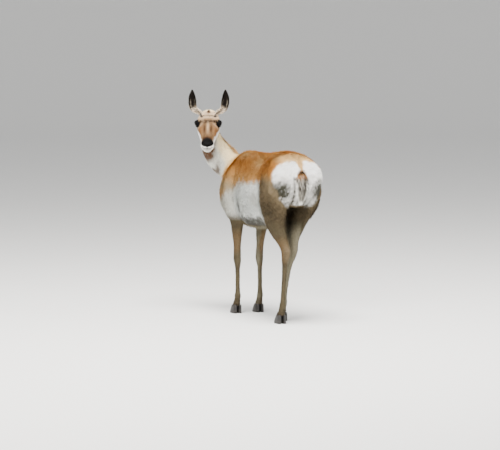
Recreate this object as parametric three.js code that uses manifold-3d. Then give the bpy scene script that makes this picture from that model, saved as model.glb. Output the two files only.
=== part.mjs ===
// A life-size pronghorn doe, standing, with her head turned back over her left side.
// Millimetres, +Z up. She faces -Y and her left is +X. Each part is lofted through sections
// in a straight, level pose, the parts are parted from each other there, and the neck and
// head are then turned. The origin is on the floor, under the middle of her outline.
import * as THREE from "three";
import { mergeVertices } from "three/addons/utils/BufferGeometryUtils.js";
import Module from "manifold-3d";

const wasm = await Module();
wasm.setup();

// Driving sizes.
const TAIL_LENGTH = 158; // from its root to its tip
const TAIL_SWAY = 10; // of its tip, to her left
const EAR_THICK = 4.6;
const EYE_RADIUS = 21;
const HORN_HEIGHT = 19;
const HOOF_HEIGHT = 45;
const GAP = 0.3; // between parts that touch
const SMOOTHING = 0.06; // surface detail under this is left out
const BEND_STEP = 18; // longest edge of the neck's surface while it's bent
const BEND_SMOOTHING = 0.4;

// The neck's straight line, from inside the shoulders to the back of the skull.
const NECK_BASE = new THREE.Vector3(0, -318, 700);
const NECK_LENGTH = 414;
const NECK_RISE = THREE.MathUtils.degToRad(69);
const NECK_AXIS = new THREE.Vector3(0, -Math.cos(NECK_RISE), Math.sin(NECK_RISE));
const NECK_DORSAL = new THREE.Vector3(0, Math.sin(NECK_RISE), Math.cos(NECK_RISE));
// The neck is parted from the torso, and the head from the neck, by a plane each.
const WITHERS_FRONT = new THREE.Vector3(0, -225, 864);
const NECKWARD = new THREE.Vector3(0, -0.723, 0.69).normalize();
const TURN = THREE.MathUtils.degToRad(154); // of the head, from straight ahead to her left
const DIP = THREE.MathUtils.degToRad(30); // of the lower neck, forwards, before it rises

// The head's own axes: from the back of the skull to the nose, and up from that line.
const HEAD_DROP = THREE.MathUtils.degToRad(25);
const HEAD_AXIS = new THREE.Vector3(0, -Math.cos(HEAD_DROP), -Math.sin(HEAD_DROP));
const HEAD_UP = new THREE.Vector3(0, -Math.sin(HEAD_DROP), Math.cos(HEAD_DROP));
const HEAD_BASE = NECK_BASE.clone()
  .addScaledVector(NECK_AXIS, NECK_LENGTH)
  .addScaledVector(HEAD_UP, 2);
const THROAT = HEAD_BASE.clone().addScaledVector(HEAD_AXIS, 52).addScaledVector(HEAD_UP, -70);
const HEADWARD = HEAD_AXIS.clone().multiplyScalar(0.613).addScaledVector(HEAD_UP, 0.79).normalize();

// Sections: distance along, lowest, highest, half width, how high the widest point is, squareness.
const TORSO = [
  [-422, 618, 684, 22, 0.5, 2],
  [-407, 572, 728, 60, 0.48, 2],
  [-366, 530, 760, 92, 0.46, 2.1],
  [-300, 502, 802, 108, 0.44, 2.1],
  [-240, 484, 846, 114, 0.43, 2.1],
  [-180, 471, 871, 118, 0.42, 2.1],
  [-110, 465, 872, 126, 0.42, 2.1],
  [-20, 472, 870, 138, 0.42, 2.1],
  [70, 488, 872, 142, 0.42, 2.1],
  [150, 516, 879, 139, 0.46, 2.1],
  [215, 548, 887, 136, 0.5, 2.1],
  [290, 580, 894, 138, 0.56, 2.1],
  [355, 596, 890, 143, 0.6, 2.1],
  [408, 612, 868, 140, 0.62, 2.1],
  [442, 636, 832, 120, 0.62, 2.1],
  [462, 672, 790, 80, 0.6, 2],
  [468, 712, 748, 26, 0.5, 2],
];
const NECK = [
  [-0.4, -84, 84, 58, 0.5, 2],
  [-0.1, -114, 108, 80, 0.48, 2],
  [0.06, -117, 98, 79, 0.48, 2],
  [0.22, -110, 74, 72, 0.48, 2],
  [0.4, -97, 56, 61, 0.47, 2],
  [0.58, -80, 50, 53, 0.46, 2],
  [0.76, -72, 49, 48, 0.45, 2],
  [0.92, -68, 50, 47, 0.45, 2],
  [1.0, -64, 44, 45, 0.45, 2],
  [1.08, -46, 30, 34, 0.45, 2],
];
const HEAD = [
  [-34, -48, 22, 26, 0.5, 2],
  [-16, -60, 38, 42, 0.5, 2],
  [8, -68, 46, 51, 0.55, 2.1],
  [38, -76, 51, 56, 0.62, 2.1],
  [72, -82, 52, 60, 0.68, 2.2],
  [104, -84, 48, 60, 0.72, 2.2],
  [132, -82, 40, 55, 0.66, 2.2],
  [160, -76, 31, 48, 0.6, 2.2],
  [190, -69, 22, 41, 0.55, 2.2],
  [220, -63, 14, 37, 0.5, 2.3],
  [245, -60, 7, 35.5, 0.48, 2.4],
  [265, -58, 1, 35, 0.48, 2.4],
  [281, -52, -4, 30, 0.5, 2.2],
  [291, -44, -12, 19, 0.5, 2],
  [295, -34, -22, 7, 0.5, 2],
];
// Legs go by height: front, back, inner and outer limits, squareness. The left ones are given.
const FORELEG = [
  [822, -206, -146, 46, 70, 2],
  [785, -248, -132, 44, 98, 2],
  [720, -300, -120, 42, 118, 2.1],
  [650, -340, -114, 42, 128, 2.1],
  [590, -330, -110, 42, 128, 2.1],
  [540, -282, -108, 44, 119, 2.1],
  [502, -242, -110, 44, 107, 2.1],
  [462, -227, -130, 45, 99, 2],
  [412, -220, -151, 46, 92, 2],
  [362, -215, -164, 47, 86, 2],
  [326, -217, -170, 45, 85, 2.2],
  [300, -219, -172, 44, 85, 2.3],
  [274, -215, -173, 45, 83, 2.2],
  [245, -208, -176, 50, 79, 2],
  [195, -206, -178, 51, 78, 2],
  [148, -206, -178, 51, 78, 2],
  [118, -208, -176, 50, 79, 2],
  [98, -212, -172, 47, 82, 2.1],
  [78, -218, -177, 48, 81, 2],
  [62, -225, -183, 46, 83, 2],
  [HOOF_HEIGHT + GAP, -232, -186, 43, 86, 2.2],
];
const HINDLEG = [
  [846, 286, 366, 42, 92, 2],
  [805, 238, 402, 38, 130, 2.1],
  [740, 206, 430, 30, 150, 2.2],
  [680, 190, 444, 24, 156, 2.2],
  [628, 181, 444, 22, 153, 2.2],
  [585, 179, 430, 24, 144, 2.1],
  [545, 196, 411, 27, 131, 2],
  [505, 226, 401, 29, 116, 2],
  [465, 263, 403, 30, 100, 2],
  [430, 301, 412, 31, 86, 2],
  [405, 336, 425, 31, 78, 2.1],
  [385, 356, 435, 30, 74, 2.2],
  [364, 363, 433, 30, 73, 2.2],
  [340, 367, 421, 31, 72, 2.1],
  [315, 369, 409, 33, 69, 2],
  [280, 369, 401, 36, 66, 2],
  [235, 366, 397, 38, 65, 2],
  [188, 362, 392, 38, 65, 2],
  [145, 358, 388, 38, 65, 2],
  [118, 354, 387, 37, 66, 2],
  [98, 349, 388, 34, 69, 2.1],
  [78, 342, 381, 35, 68, 2],
  [62, 335, 375, 33, 70, 2],
  [HOOF_HEIGHT + GAP, 326, 371, 30, 73, 2.2],
];
// How far each foot is set from its place in those tables: inwards, and back.
const STANCE = {
  fore_left: [0, 6],
  fore_right: [0, 10],
  hind_left: [-2, -24],
  hind_right: [-40, -138],
};
const STANCE_TOP = { fore: 560, hind: 700 };
const HOCK_HEIGHT = 390; // the lean inwards is whole from here down

const HIDE = { roughness: 0.85, metalness: 0 };
const COLOURS = {
  coat: new THREE.MeshStandardMaterial({ color: 0xb4793f, ...HIDE }),
  neck: new THREE.MeshStandardMaterial({ color: 0xc79a66, ...HIDE }),
  face: new THREE.MeshStandardMaterial({ color: 0xc9a87e, ...HIDE }),
  rump: new THREE.MeshStandardMaterial({ color: 0xf2efe8, ...HIDE }),
  leg: new THREE.MeshStandardMaterial({ color: 0xb8956b, ...HIDE }),
  ear: new THREE.MeshStandardMaterial({ color: 0x8b8175, ...HIDE }),
  tail: new THREE.MeshStandardMaterial({ color: 0xa8744a, ...HIDE }),
  eye: new THREE.MeshStandardMaterial({ color: 0x0d0a09, roughness: 0.08, metalness: 0 }),
  horn: new THREE.MeshStandardMaterial({ color: 0x2b2622, roughness: 0.5, metalness: 0 }),
};

// Tools for sections, solids and hair
const vec = (x, y, z) => new THREE.Vector3(x, y, z);

// A table's row at a distance, on a smooth curve that never passes its own rows.
function rowAt(table, at) {
  const rising = table[1][0] > table[0][0] ? 1 : -1;
  let k = 0;
  while (k < table.length - 2 && (at - table[k + 1][0]) * rising > 0) k++;
  const span = table[k + 1][0] - table[k][0];
  const t = THREE.MathUtils.clamp((at - table[k][0]) / span, 0, 1);
  const slope = (i, c) => {
    if (i <= 0 || i >= table.length - 1) return 0;
    const before = (table[i][c] - table[i - 1][c]) / (table[i][0] - table[i - 1][0]);
    const after = (table[i + 1][c] - table[i][c]) / (table[i + 1][0] - table[i][0]);
    return before * after > 0 ? (2 * before * after) / (before + after) : 0;
  };
  return table[k].map((from, c) => {
    if (c === 0) return at;
    const to = table[k + 1][c];
    const curve = t * t * (3 - 2 * t);
    const out = t * (1 - t) * (1 - t) * slope(k, c);
    const into = t * t * (t - 1) * slope(k + 1, c);
    return from + (to - from) * curve + (out + into) * span;
  });
}

const rounded = (value, square) => Math.sign(value) * Math.abs(value) ** (2 / square);

// The outline's points across a row of a body table (depth, half width) and of a leg table.
function bodySection([, low, high, half, widest, square], angle) {
  const middle = low + (high - low) * widest;
  const s = rounded(Math.sin(angle), square);
  return [half * rounded(Math.cos(angle), square), middle + s * (s > 0 ? high - middle : middle - low)];
}
function legSection([, front, back, inner, outer, square], angle) {
  return [
    (inner + outer) / 2 + ((outer - inner) / 2) * rounded(Math.cos(angle), square),
    (front + back) / 2 + ((back - front) / 2) * rounded(Math.sin(angle), square),
  ];
}

// Distances with a number of steps between each two rows.
function stationsOf(table, steps) {
  const found = [];
  for (let k = 0; k < table.length - 1; k++)
    for (let i = 0; i < steps; i++)
      found.push(table[k][0] + ((table[k + 1][0] - table[k][0]) * i) / steps);
  return [...found, table.at(-1)[0]];
}

// A closed skin over rings of points, each ring capped by its own middle at the two ends.
function skinOver(rings) {
  const sides = rings[0].length;
  const middle = (ring) => ring.reduce((sum, p) => sum.add(p), vec(0, 0, 0)).divideScalar(sides);
  const points = [...rings.flat(), middle(rings[0]), middle(rings.at(-1))];
  const faces = [];
  const at = (r, i) => r * sides + (i % sides);
  for (let r = 0; r < rings.length - 1; r++)
    for (let i = 0; i < sides; i++)
      faces.push(at(r, i), at(r, i + 1), at(r + 1, i + 1), at(r, i), at(r + 1, i + 1), at(r + 1, i));
  const [first, last] = [points.length - 2, points.length - 1];
  for (let i = 0; i < sides; i++) {
    faces.push(first, at(0, i + 1), at(0, i));
    faces.push(last, at(rings.length - 1, i), at(rings.length - 1, i + 1));
  }
  const shape = new THREE.BufferGeometry().setFromPoints(points);
  return shape.setIndex(faces);
}

// A closed shell between two grids of points that lie one over the other.
function shellOver(outer, inner) {
  const rows = outer.length;
  const columns = outer[0].length;
  const points = [...outer.flat(), ...inner.flat()];
  const faces = [];
  const quad = (a, b, c, d) => faces.push(a, b, c, a, c, d);
  const at = (layer, r, c) => layer * rows * columns + r * columns + c;
  for (let r = 0; r < rows - 1; r++) {
    for (let c = 0; c < columns - 1; c++) {
      quad(at(0, r, c), at(0, r, c + 1), at(0, r + 1, c + 1), at(0, r + 1, c));
      quad(at(1, r, c), at(1, r + 1, c), at(1, r + 1, c + 1), at(1, r, c + 1));
    }
    const last = columns - 1;
    quad(at(0, r, 0), at(0, r + 1, 0), at(1, r + 1, 0), at(1, r, 0));
    quad(at(0, r, last), at(1, r, last), at(1, r + 1, last), at(0, r + 1, last));
  }
  for (let c = 0; c < columns - 1; c++) {
    const last = rows - 1;
    quad(at(0, 0, c), at(1, 0, c), at(1, 0, c + 1), at(0, 0, c + 1));
    quad(at(0, last, c), at(0, last, c + 1), at(1, last, c + 1), at(1, last, c));
  }
  return new THREE.BufferGeometry().setFromPoints(points).setIndex(faces);
}

// A geometry as a solid, its faces turned outwards.
function solidOf(shape) {
  const bare = shape.index ? shape.toNonIndexed() : shape.clone();
  const position = new THREE.BufferGeometry().setAttribute("position", bare.getAttribute("position"));
  const merged = mergeVertices(position, 1e-3);
  const triVerts = new Uint32Array(merged.index.array);
  const vertProperties = merged.attributes.position.array;
  const make = () => new wasm.Manifold(new wasm.Mesh({ numProp: 3, vertProperties, triVerts }));
  const solid = make();
  if (solid.volume() > 0) return solid;
  for (let i = 0; i < triVerts.length; i += 3)
    [triVerts[i], triVerts[i + 1]] = [triVerts[i + 1], triVerts[i]];
  return make();
}

// The solid's largest closed body as a geometry.
function geometryOf(solid) {
  const largest = solid.decompose().reduce((a, b) => (b.volume() > a.volume() ? b : a));
  const mesh = largest.getMesh();
  return new THREE.BufferGeometry()
    .setAttribute("position", new THREE.BufferAttribute(new Float32Array(mesh.vertProperties), 3))
    .setIndex(new THREE.BufferAttribute(new Uint32Array(mesh.triVerts), 1));
}

const joined = (solids) => solids.reduce((all, one) => all.add(one));

// A loft through a table. place turns (along, across, up) into a point.
function loft(table, section, place, steps, sides, grow = 0) {
  const rings = stationsOf(table, steps).map((at) => {
    const row = rowAt(table, at);
    const ring = [];
    for (let i = 0; i < sides; i++) {
      const angle = (2 * Math.PI * i) / sides;
      const [across, up] = section(row, angle);
      ring.push(place(at, across + grow * Math.cos(angle), up + grow * Math.sin(angle)));
    }
    return ring;
  });
  return solidOf(skinOver(rings));
}

// The side of a plane that a point is on, as a block big enough to hold the animal.
function halfSpace(point, normal) {
  const size = 3000;
  const block = new THREE.BoxGeometry(size, size, size).translate(0, 0, size / 2);
  block.applyQuaternion(new THREE.Quaternion().setFromUnitVectors(vec(0, 0, 1), normal));
  return solidOf(block.translate(...point));
}

// One lock of hair: flat, tapered to a point, rooted under the surface and bent along its lie.
function lock({ root, out, lie, length, width, thick, sink, lift }) {
  const across = new THREE.Vector3().crossVectors(out, lie).normalize();
  const rings = [0, 0.34, 0.7].map((share) => {
    const rise = lift * Math.sin(share * 2.2) - sink * (1 - share) ** 2;
    const centre = root.clone().addScaledVector(lie, length * share).addScaledVector(out, rise);
    const half = (width / 2) * (1 - share * share * 0.72);
    const deep = (thick / 2) * (1 - share * 0.5);
    return [
      centre.clone().addScaledVector(across, half),
      centre.clone().addScaledVector(out, deep),
      centre.clone().addScaledVector(across, -half),
      centre.clone().addScaledVector(out, -deep),
    ];
  });
  const tip = root.clone().addScaledVector(lie, length).addScaledVector(out, lift * 0.55);
  const last = rings.at(-1);
  rings.push(last.map((p) => tip.clone().lerp(p, 0.06)));
  return solidOf(skinOver(rings));
}

// Evenly spread numbers that look random and are the same in each run.
let seed = 7;
function jitter(size) {
  seed = (seed * 16807) % 2147483647;
  return ((seed / 2147483647) * 2 - 1) * size;
}

// Places on the straight body
const onTorso = (along, across, up) => vec(across, along, up);
const alongNeck = (share, across, up) =>
  NECK_BASE.clone()
    .addScaledVector(NECK_AXIS, share * NECK_LENGTH)
    .addScaledVector(NECK_DORSAL, up)
    .add(vec(across, 0, 0));
const onHead = (along, across, up) =>
  HEAD_BASE.clone()
    .addScaledVector(HEAD_AXIS, along)
    .addScaledVector(HEAD_UP, up)
    .add(vec(across, 0, 0));

// The foot of a leg is carried to its stance, and the leg leans after it.
function onLeg(leg, side) {
  const [inward, back] = STANCE[leg + (side > 0 ? "_left" : "_right")];
  return (height, x, y) => {
    const lean = THREE.MathUtils.smootherstep(STANCE_TOP[leg] - height, 0, STANCE_TOP[leg]);
    const pull = THREE.MathUtils.smoothstep(STANCE_TOP[leg] - height, 0, STANCE_TOP[leg] - HOCK_HEIGHT);
    return vec(side * (x + inward * pull), y + back * lean, height);
  };
}

// The turned neck. A point's turn grows with its share of the way between the two
// planes, and the neck's line is the sum of its turned steps, so that its length is kept.
const neckShare = (point) => {
  const behind = point.clone().sub(WITHERS_FRONT).dot(NECKWARD);
  const before = -point.clone().sub(THROAT).dot(HEADWARD);
  return THREE.MathUtils.clamp(behind / (behind + before), 0, 1);
};
function turnAt(t) {
  const dip = DIP * Math.sin(Math.PI * t ** 0.6) ** 2;
  return new THREE.Quaternion()
    .setFromAxisAngle(vec(0, 0, 1), TURN * t)
    .multiply(new THREE.Quaternion().setFromAxisAngle(vec(1, 0, 0), dip));
}
// Where the neck's straight line passes a plane.
function onAxis(point, normal) {
  const reach = point.clone().sub(NECK_BASE).dot(normal) / NECK_AXIS.dot(normal);
  return NECK_BASE.clone().addScaledVector(NECK_AXIS, reach);
}
const lineStart = onAxis(WITHERS_FRONT, NECKWARD);
const lineEnd = onAxis(THROAT, HEADWARD);
const LINE_STEPS = 240;
const neckLine = [lineStart.clone()];
for (let i = 0; i < LINE_STEPS; i++) {
  const step = lineEnd.clone().sub(lineStart).divideScalar(LINE_STEPS);
  neckLine.push(neckLine[i].clone().add(step.applyQuaternion(turnAt((i + 0.5) / LINE_STEPS))));
}
function turned(point) {
  const t = neckShare(point);
  const k = Math.min(Math.floor(t * LINE_STEPS), LINE_STEPS - 1);
  const line = neckLine[k].clone().lerp(neckLine[k + 1], t * LINE_STEPS - k);
  return point.clone().sub(lineStart.clone().lerp(lineEnd, t)).applyQuaternion(turnAt(t)).add(line);
}
// The head is one rigid piece.
const headTurn = (point) => point.clone().sub(lineEnd).applyQuaternion(turnAt(1)).add(neckLine.at(-1));

// The body
const torsoCore = loft(TORSO, bodySection, onTorso, 2, 22);
const neckCore = loft(NECK, bodySection, alongNeck, 1, 22);

const LEG_TABLES = { fore: FORELEG, hind: HINDLEG };
const LEG_SIDES = 12;
function leg(kind, side, grow = 0) {
  return loft(LEG_TABLES[kind], legSection, onLeg(kind, side), 1, LEG_SIDES, grow);
}

// Long white hair of the rump, in rows that fan down and out from the tail on each side.
const RUMP_ROWS = [
  { along: 345, count: 2, from: 0.3, to: 0.62 },
  { along: 385, count: 4, from: -0.35, to: 0.98 },
  { along: 424, count: 5, from: -0.62, to: 1.2 },
  { along: 452, count: 4, from: -0.9, to: 1.3 },
];
const RUMP_LOCK = { length: 66, width: 40, thick: 9, sink: 13, lift: 5 };
function rumpLocks() {
  const locks = [];
  for (const side of [1, -1])
    for (const { along, count, from, to } of RUMP_ROWS)
      for (let i = 0; i < count; i++) {
        const angle = from + ((to - from) * (i + 0.5)) / count + jitter(0.03);
        const row = rowAt(TORSO, along);
        const place = (a, turn) => {
          const [x, z] = bodySection(rowAt(TORSO, a), turn);
          return onTorso(a, x * side, z);
        };
        const root = place(along, angle);
        const back = place(along + 6, angle).sub(place(along - 6, angle)).normalize();
        const around = place(along, angle - 0.1).sub(place(along, angle + 0.1)).normalize();
        const out = new THREE.Vector3().crossVectors(back, around).normalize();
        if (out.dot(root.clone().sub(onTorso(along - 60, 0, row[1] + 150))) < 0) out.negate();
        const lie = back.multiplyScalar(0.75).add(around.multiplyScalar(0.85)).normalize();
        locks.push(lock({ root, out, lie, ...RUMP_LOCK, length: RUMP_LOCK.length + jitter(8) }));
      }
  return locks;
}

// The short mane on the nape, in overlapping pairs that lie back along the neck.
const MANE_ROWS = 11;
const MANE_LOCK = { length: 64, width: 26, thick: 7, sink: 7, lift: 5 };
function maneLocks() {
  const locks = [];
  for (let i = 0; i < MANE_ROWS; i++) {
    const along = 0.3 + (0.56 * (i + 0.5)) / MANE_ROWS;
    const [, , high] = rowAt(NECK, along);
    for (const side of [1, -1]) {
      const root = alongNeck(along + jitter(0.006), side * 9, high - 3);
      const out = NECK_DORSAL.clone().add(vec(side * 0.45, 0, 0)).normalize();
      const lie = NECK_AXIS.clone().negate().addScaledVector(out, 0.12).normalize();
      locks.push(lock({ root, out, lie, ...MANE_LOCK, length: MANE_LOCK.length + jitter(7) }));
    }
  }
  return locks;
}

// The head
const EYE_PLACE = { along: 108, across: 51, up: 19 };
const eyeCentre = (side) => onHead(EYE_PLACE.along, side * EYE_PLACE.across, EYE_PLACE.up);
const ball = (radius, wide = 10, high = 7) => new THREE.SphereGeometry(radius, wide, high);

// A shape in the head's own axes (x across, y along, z up), set at a place on it.
function onHeadSolid(shape, along, across, up) {
  const axes = new THREE.Matrix4().makeBasis(vec(1, 0, 0), HEAD_AXIS, HEAD_UP);
  return solidOf(shape.applyMatrix4(axes).translate(...onHead(along, across, up)));
}

function eyeball(side) {
  return solidOf(ball(EYE_RADIUS, 14, 9).translate(...eyeCentre(side)));
}

// Lids: a band over the eyeball, open in an almond shape that looks outwards.
const LID_THICK = 3.4;
function lids(side) {
  const band = ball(EYE_RADIUS + LID_THICK, 14, 9);
  const almond = ball(1, 12, 8).scale(26, 18.5, 13).rotateX(-0.18).translate(side * 27, 1, 0);
  return onHeadSolid(band, EYE_PLACE.along, side * EYE_PLACE.across, EYE_PLACE.up).subtract(
    onHeadSolid(almond, EYE_PLACE.along, side * EYE_PLACE.across, EYE_PLACE.up),
  );
}

// The mouth's line runs along the muzzle's side, under the nose and back along the other side.
const MOUTH = { back: 212, front: 287, low: -0.62, high: -0.28, radius: 1.7 };
function mouthLine() {
  const points = [];
  const steps = 7;
  for (const side of [1, -1])
    for (let i = 0; i <= steps; i++) {
      const share = side > 0 ? i / steps : 1 - i / steps;
      const along = MOUTH.back + (MOUTH.front - MOUTH.back) * share;
      const angle = MOUTH.low + (MOUTH.high - MOUTH.low) * share * 0.4;
      const [across, up] = bodySection(rowAt(HEAD, along), angle);
      points.push(onHead(along, side * across * 1.01, up));
    }
  const section = new THREE.Shape().absarc(0, 0, MOUTH.radius, 0, 2 * Math.PI);
  const extrudePath = new THREE.CatmullRomCurve3(points);
  const settings = { steps: 18, curveSegments: 3, extrudePath };
  return solidOf(new THREE.ExtrudeGeometry(section, settings));
}

const NOSTRIL = { along: 284, across: 13, up: -17, size: [4.2, 7.5, 3.4] };
function nostril(side) {
  const hole = ball(1, 10, 8).scale(...NOSTRIL.size).rotateZ(side * 0.5);
  return onHeadSolid(hole, NOSTRIL.along, side * NOSTRIL.across, NOSTRIL.up);
}

function skull() {
  const bumps = [];
  for (const side of [1, -1]) {
    // the brow over each eye, the cheek under it, and the upper and lower lips
    bumps.push(onHeadSolid(ball(1).scale(22, 30, 19), 104, side * 38, 33));
    bumps.push(onHeadSolid(ball(1).scale(23, 42, 27), 64, side * 35, -40));
    bumps.push(onHeadSolid(ball(1).scale(15, 24, 14), 262, side * 22, -34));
    bumps.push(lids(side));
  }
  bumps.push(onHeadSolid(ball(1).scale(25, 16, 14), 280, 0, -15));
  bumps.push(onHeadSolid(ball(1).scale(24, 25, 11), 262, 0, -54));
  return joined([loft(HEAD, bodySection, onHead, 2, 18), ...bumps]);
}

// Ears: each a leaf rolled into a cup, tight at its root and open towards its tip.
const EAR_ROOT = { along: 20, across: 42, up: 34 };
// The ear's line from its root, outwards, ahead and up.
const EAR_LINE = [
  [-12, -2, -10],
  [8, 0, 7],
  [27, -1, 17],
  [40, -2, 34],
  [46, -4, 60],
  [48, -6, 90],
  [47, -10, 121],
];
// Share of its length, width, and how far each side is rolled forwards.
const EAR_SHAPE = [
  [0, 25, 2.5],
  [0.22, 29, 2.1],
  [0.42, 40, 1.55],
  [0.6, 45, 1.2],
  [0.78, 37, 1.1],
  [0.92, 20, 1.0],
  [1, 7, 0.9],
];
const EAR_FACE = vec(0.3, -1, 0.05); // the way the left one's cup looks
const EAR_ROWS = 11;
const EAR_STEPS = 8;
function ear(side) {
  const points = EAR_LINE.map(([out, ahead, up]) => vec(side * out, -ahead, up));
  const line = new THREE.CatmullRomCurve3(points);
  const origin = onHead(EAR_ROOT.along, side * EAR_ROOT.across, EAR_ROOT.up);
  const face = EAR_FACE.clone().setX(side * EAR_FACE.x).normalize();
  const sheet = (inset) => {
    const grid = [];
    for (let r = 0; r <= EAR_ROWS; r++) {
      const share = r / EAR_ROWS;
      const [, width, roll] = rowAt(EAR_SHAPE, share);
      const centre = line.getPointAt(share).add(origin);
      const tangent = line.getTangentAt(share);
      const across = new THREE.Vector3().crossVectors(tangent, face).normalize();
      const opening = new THREE.Vector3().crossVectors(across, tangent).normalize();
      const radius = width / (2 * Math.sin(Math.min(roll, Math.PI / 2)));
      const deep = radius - inset * THREE.MathUtils.lerp(1, 0.5, share ** 3);
      const row = [];
      for (let i = 0; i <= EAR_STEPS; i++) {
        const angle = roll * ((2 * i) / EAR_STEPS - 1);
        row.push(
          centre
            .clone()
            .addScaledVector(across, deep * Math.sin(angle))
            .addScaledVector(opening, radius * 0.35 - deep * Math.cos(angle)),
        );
      }
      grid.push(row);
    }
    return grid;
  };
  return solidOf(shellOver(sheet(0), sheet(EAR_THICK)));
}

// Small bare horns, in the hair over the eyes
const HORN_PLACE = { along: 88, across: 36, up: 48 };
function horn(side) {
  const profile = [
    [0, -6],
    [7.5, -6],
    [7, 4],
    [4.6, HORN_HEIGHT * 0.62],
    [1.8, HORN_HEIGHT * 0.94],
    [0, HORN_HEIGHT],
  ].map(([r, h]) => new THREE.Vector2(r, h));
  const up = HEAD_UP.clone().add(vec(side * 0.3, 0, 0)).addScaledVector(HEAD_AXIS, -0.25).normalize();
  const shape = new THREE.LatheGeometry(profile, 12).rotateX(Math.PI / 2);
  shape.applyQuaternion(new THREE.Quaternion().setFromUnitVectors(vec(0, 0, 1), up));
  return solidOf(shape.translate(...onHead(HORN_PLACE.along, side * HORN_PLACE.across, HORN_PLACE.up)));
}

// The tail hangs from the rump, its core inside locks that come to a point
const TAIL_ROOT = vec(0, 444, 792);
const TAIL = [
  [-0.3, -8, 8, 13, 0.5, 2],
  [0.05, -11, 12, 23, 0.5, 2],
  [0.35, -10, 13, 28, 0.5, 2],
  [0.7, -8, 10, 23, 0.5, 2],
  [1.0, -3, 4, 7, 0.5, 2],
];
const tailLine = new THREE.CatmullRomCurve3([
  TAIL_ROOT.clone().add(vec(0, -34, 12)),
  TAIL_ROOT.clone().add(vec(0, 14, -6)),
  TAIL_ROOT.clone().add(vec(TAIL_SWAY * 0.3, 37, -0.4 * TAIL_LENGTH)),
  TAIL_ROOT.clone().add(vec(TAIL_SWAY, 34, -TAIL_LENGTH)),
]);
function alongTail(share, across, up) {
  const t = THREE.MathUtils.clamp((share + 0.3) / 1.3, 0, 1);
  const tangent = tailLine.getTangentAt(t);
  const out = new THREE.Vector3().crossVectors(tangent, vec(1, 0, 0)).negate().normalize();
  return tailLine.getPointAt(t).addScaledVector(out, up).add(vec(across, 0, 0));
}
function tail() {
  const locks = [];
  for (const share of [0.2, 0.5, 0.78])
    for (const across of [-1, -0.35, 0.35, 1]) {
      const [, low, high, half] = rowAt(TAIL, share);
      const root = alongTail(share, across * half * 0.75, high * (1 - Math.abs(across)) * 0.8);
      const out = alongTail(share, 0, 10).sub(alongTail(share, 0, 0)).normalize();
      out.multiplyScalar(1.1 - Math.abs(across)).add(vec(across * 0.9, 0, 0)).normalize();
      const ahead = alongTail(share + 0.15, 0, 0).sub(alongTail(share - 0.15, 0, 0)).normalize();
      const lie = ahead.add(vec(across * 0.12 * (0.7 - share), 0, 0)).normalize();
      const length = 66 + jitter(5);
      locks.push(lock({ root, out, lie, length, width: 21, thick: 7, sink: low * -0.5, lift: 3 }));
    }
  return joined([loft(TAIL, bodySection, alongTail, 2, 12), ...locks]);
}

// Hooves: two pointed toes to a foot, flat on the floor
const HOOF = [
  [0, -78, 0, 12.4, 2.2],
  [12, -74, 1, 12.0, 2.2],
  [30, -62, 0, 11.2, 2.2],
  [HOOF_HEIGHT, -50, -3, 10.4, 2.2],
];
const HOOF_TAPER = 0.42; // the toe narrows towards its point
const TOE_SPREAD = 12.6;
const FEET = { fore: { back: -183, across: 64.5 }, hind: { back: 373.5, across: 51.5 } };
function hoof(kind, side, toe) {
  const place = onLeg(kind, side);
  const { back, across } = FEET[kind];
  const section = ([, front, heel, half, square], angle) => {
    const ahead = rounded(Math.sin(angle), square);
    const narrow = 1 - HOOF_TAPER * Math.max(-ahead, 0) ** 1.6;
    return [
      across + toe * (TOE_SPREAD + half * 0.06) + half * narrow * rounded(Math.cos(angle), square),
      back + (front + heel) / 2 + ((heel - front) / 2) * ahead,
    ];
  };
  return loft(HOOF, section, place, 1, 16);
}

// Parting: each part keeps to its own side of thin cuts
const neckSide = halfSpace(WITHERS_FRONT.clone().addScaledVector(NECKWARD, GAP), NECKWARD);
const torsoSide = halfSpace(WITHERS_FRONT, NECKWARD.clone().negate());
const headSide = halfSpace(THROAT.clone().addScaledVector(HEADWARD, GAP), HEADWARD);
const belowHead = halfSpace(THROAT, HEADWARD.clone().negate());

const headCore = skull();
const body = joined([torsoCore, neckCore]);
const headWhole = joined([neckCore, headCore]).intersect(headSide);

const nodes = [];
const add = (name, solid, material, move) => nodes.push({ name, solid, material, move });

const BOTH = { left: 1, right: -1 };
let torso = joined([body, ...rumpLocks()]).intersect(torsoSide);
let neck = joined([body, headCore, ...maneLocks()]).intersect(neckSide).intersect(belowHead);
for (const [name, side] of Object.entries(BOTH))
  for (const kind of ["fore", "hind"]) {
    torso = torso.subtract(leg(kind, side, GAP));
    neck = neck.subtract(leg(kind, side, GAP));
    add(kind + "leg_" + name, leg(kind, side), COLOURS.leg);
    for (const [toeName, toe] of Object.entries({ inner: -1, outer: 1 }))
      add("hoof_" + kind + "_" + name + "_" + toeName, hoof(kind, side, toe), COLOURS.horn);
  }
const rumpRoom = joined([torso, torso.translate(0, GAP, 0)]);
add("torso", torso, COLOURS.coat);
add("tail", tail().subtract(rumpRoom), COLOURS.tail);
add("neck", neck, COLOURS.neck, turned);

let head = headWhole.subtract(mouthLine());
for (const [name, side] of Object.entries(BOTH)) {
  const room = solidOf(ball(EYE_RADIUS + GAP, 14, 9).translate(...eyeCentre(side)));
  const earSolid = ear(side);
  const aside = vec(side * 0.5, 0, 0.85).multiplyScalar(GAP);
  const headClear = joined([headWhole, headWhole.translate(...aside)]);
  head = head.subtract(room).subtract(nostril(side));
  add("eye_" + name, eyeball(side), COLOURS.eye, headTurn);
  add("ear_" + name, earSolid.subtract(headClear), COLOURS.ear, headTurn);
  add("horn_" + name, horn(side).subtract(headClear), COLOURS.horn, headTurn);
}
add("head", head, COLOURS.face, headTurn);

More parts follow.
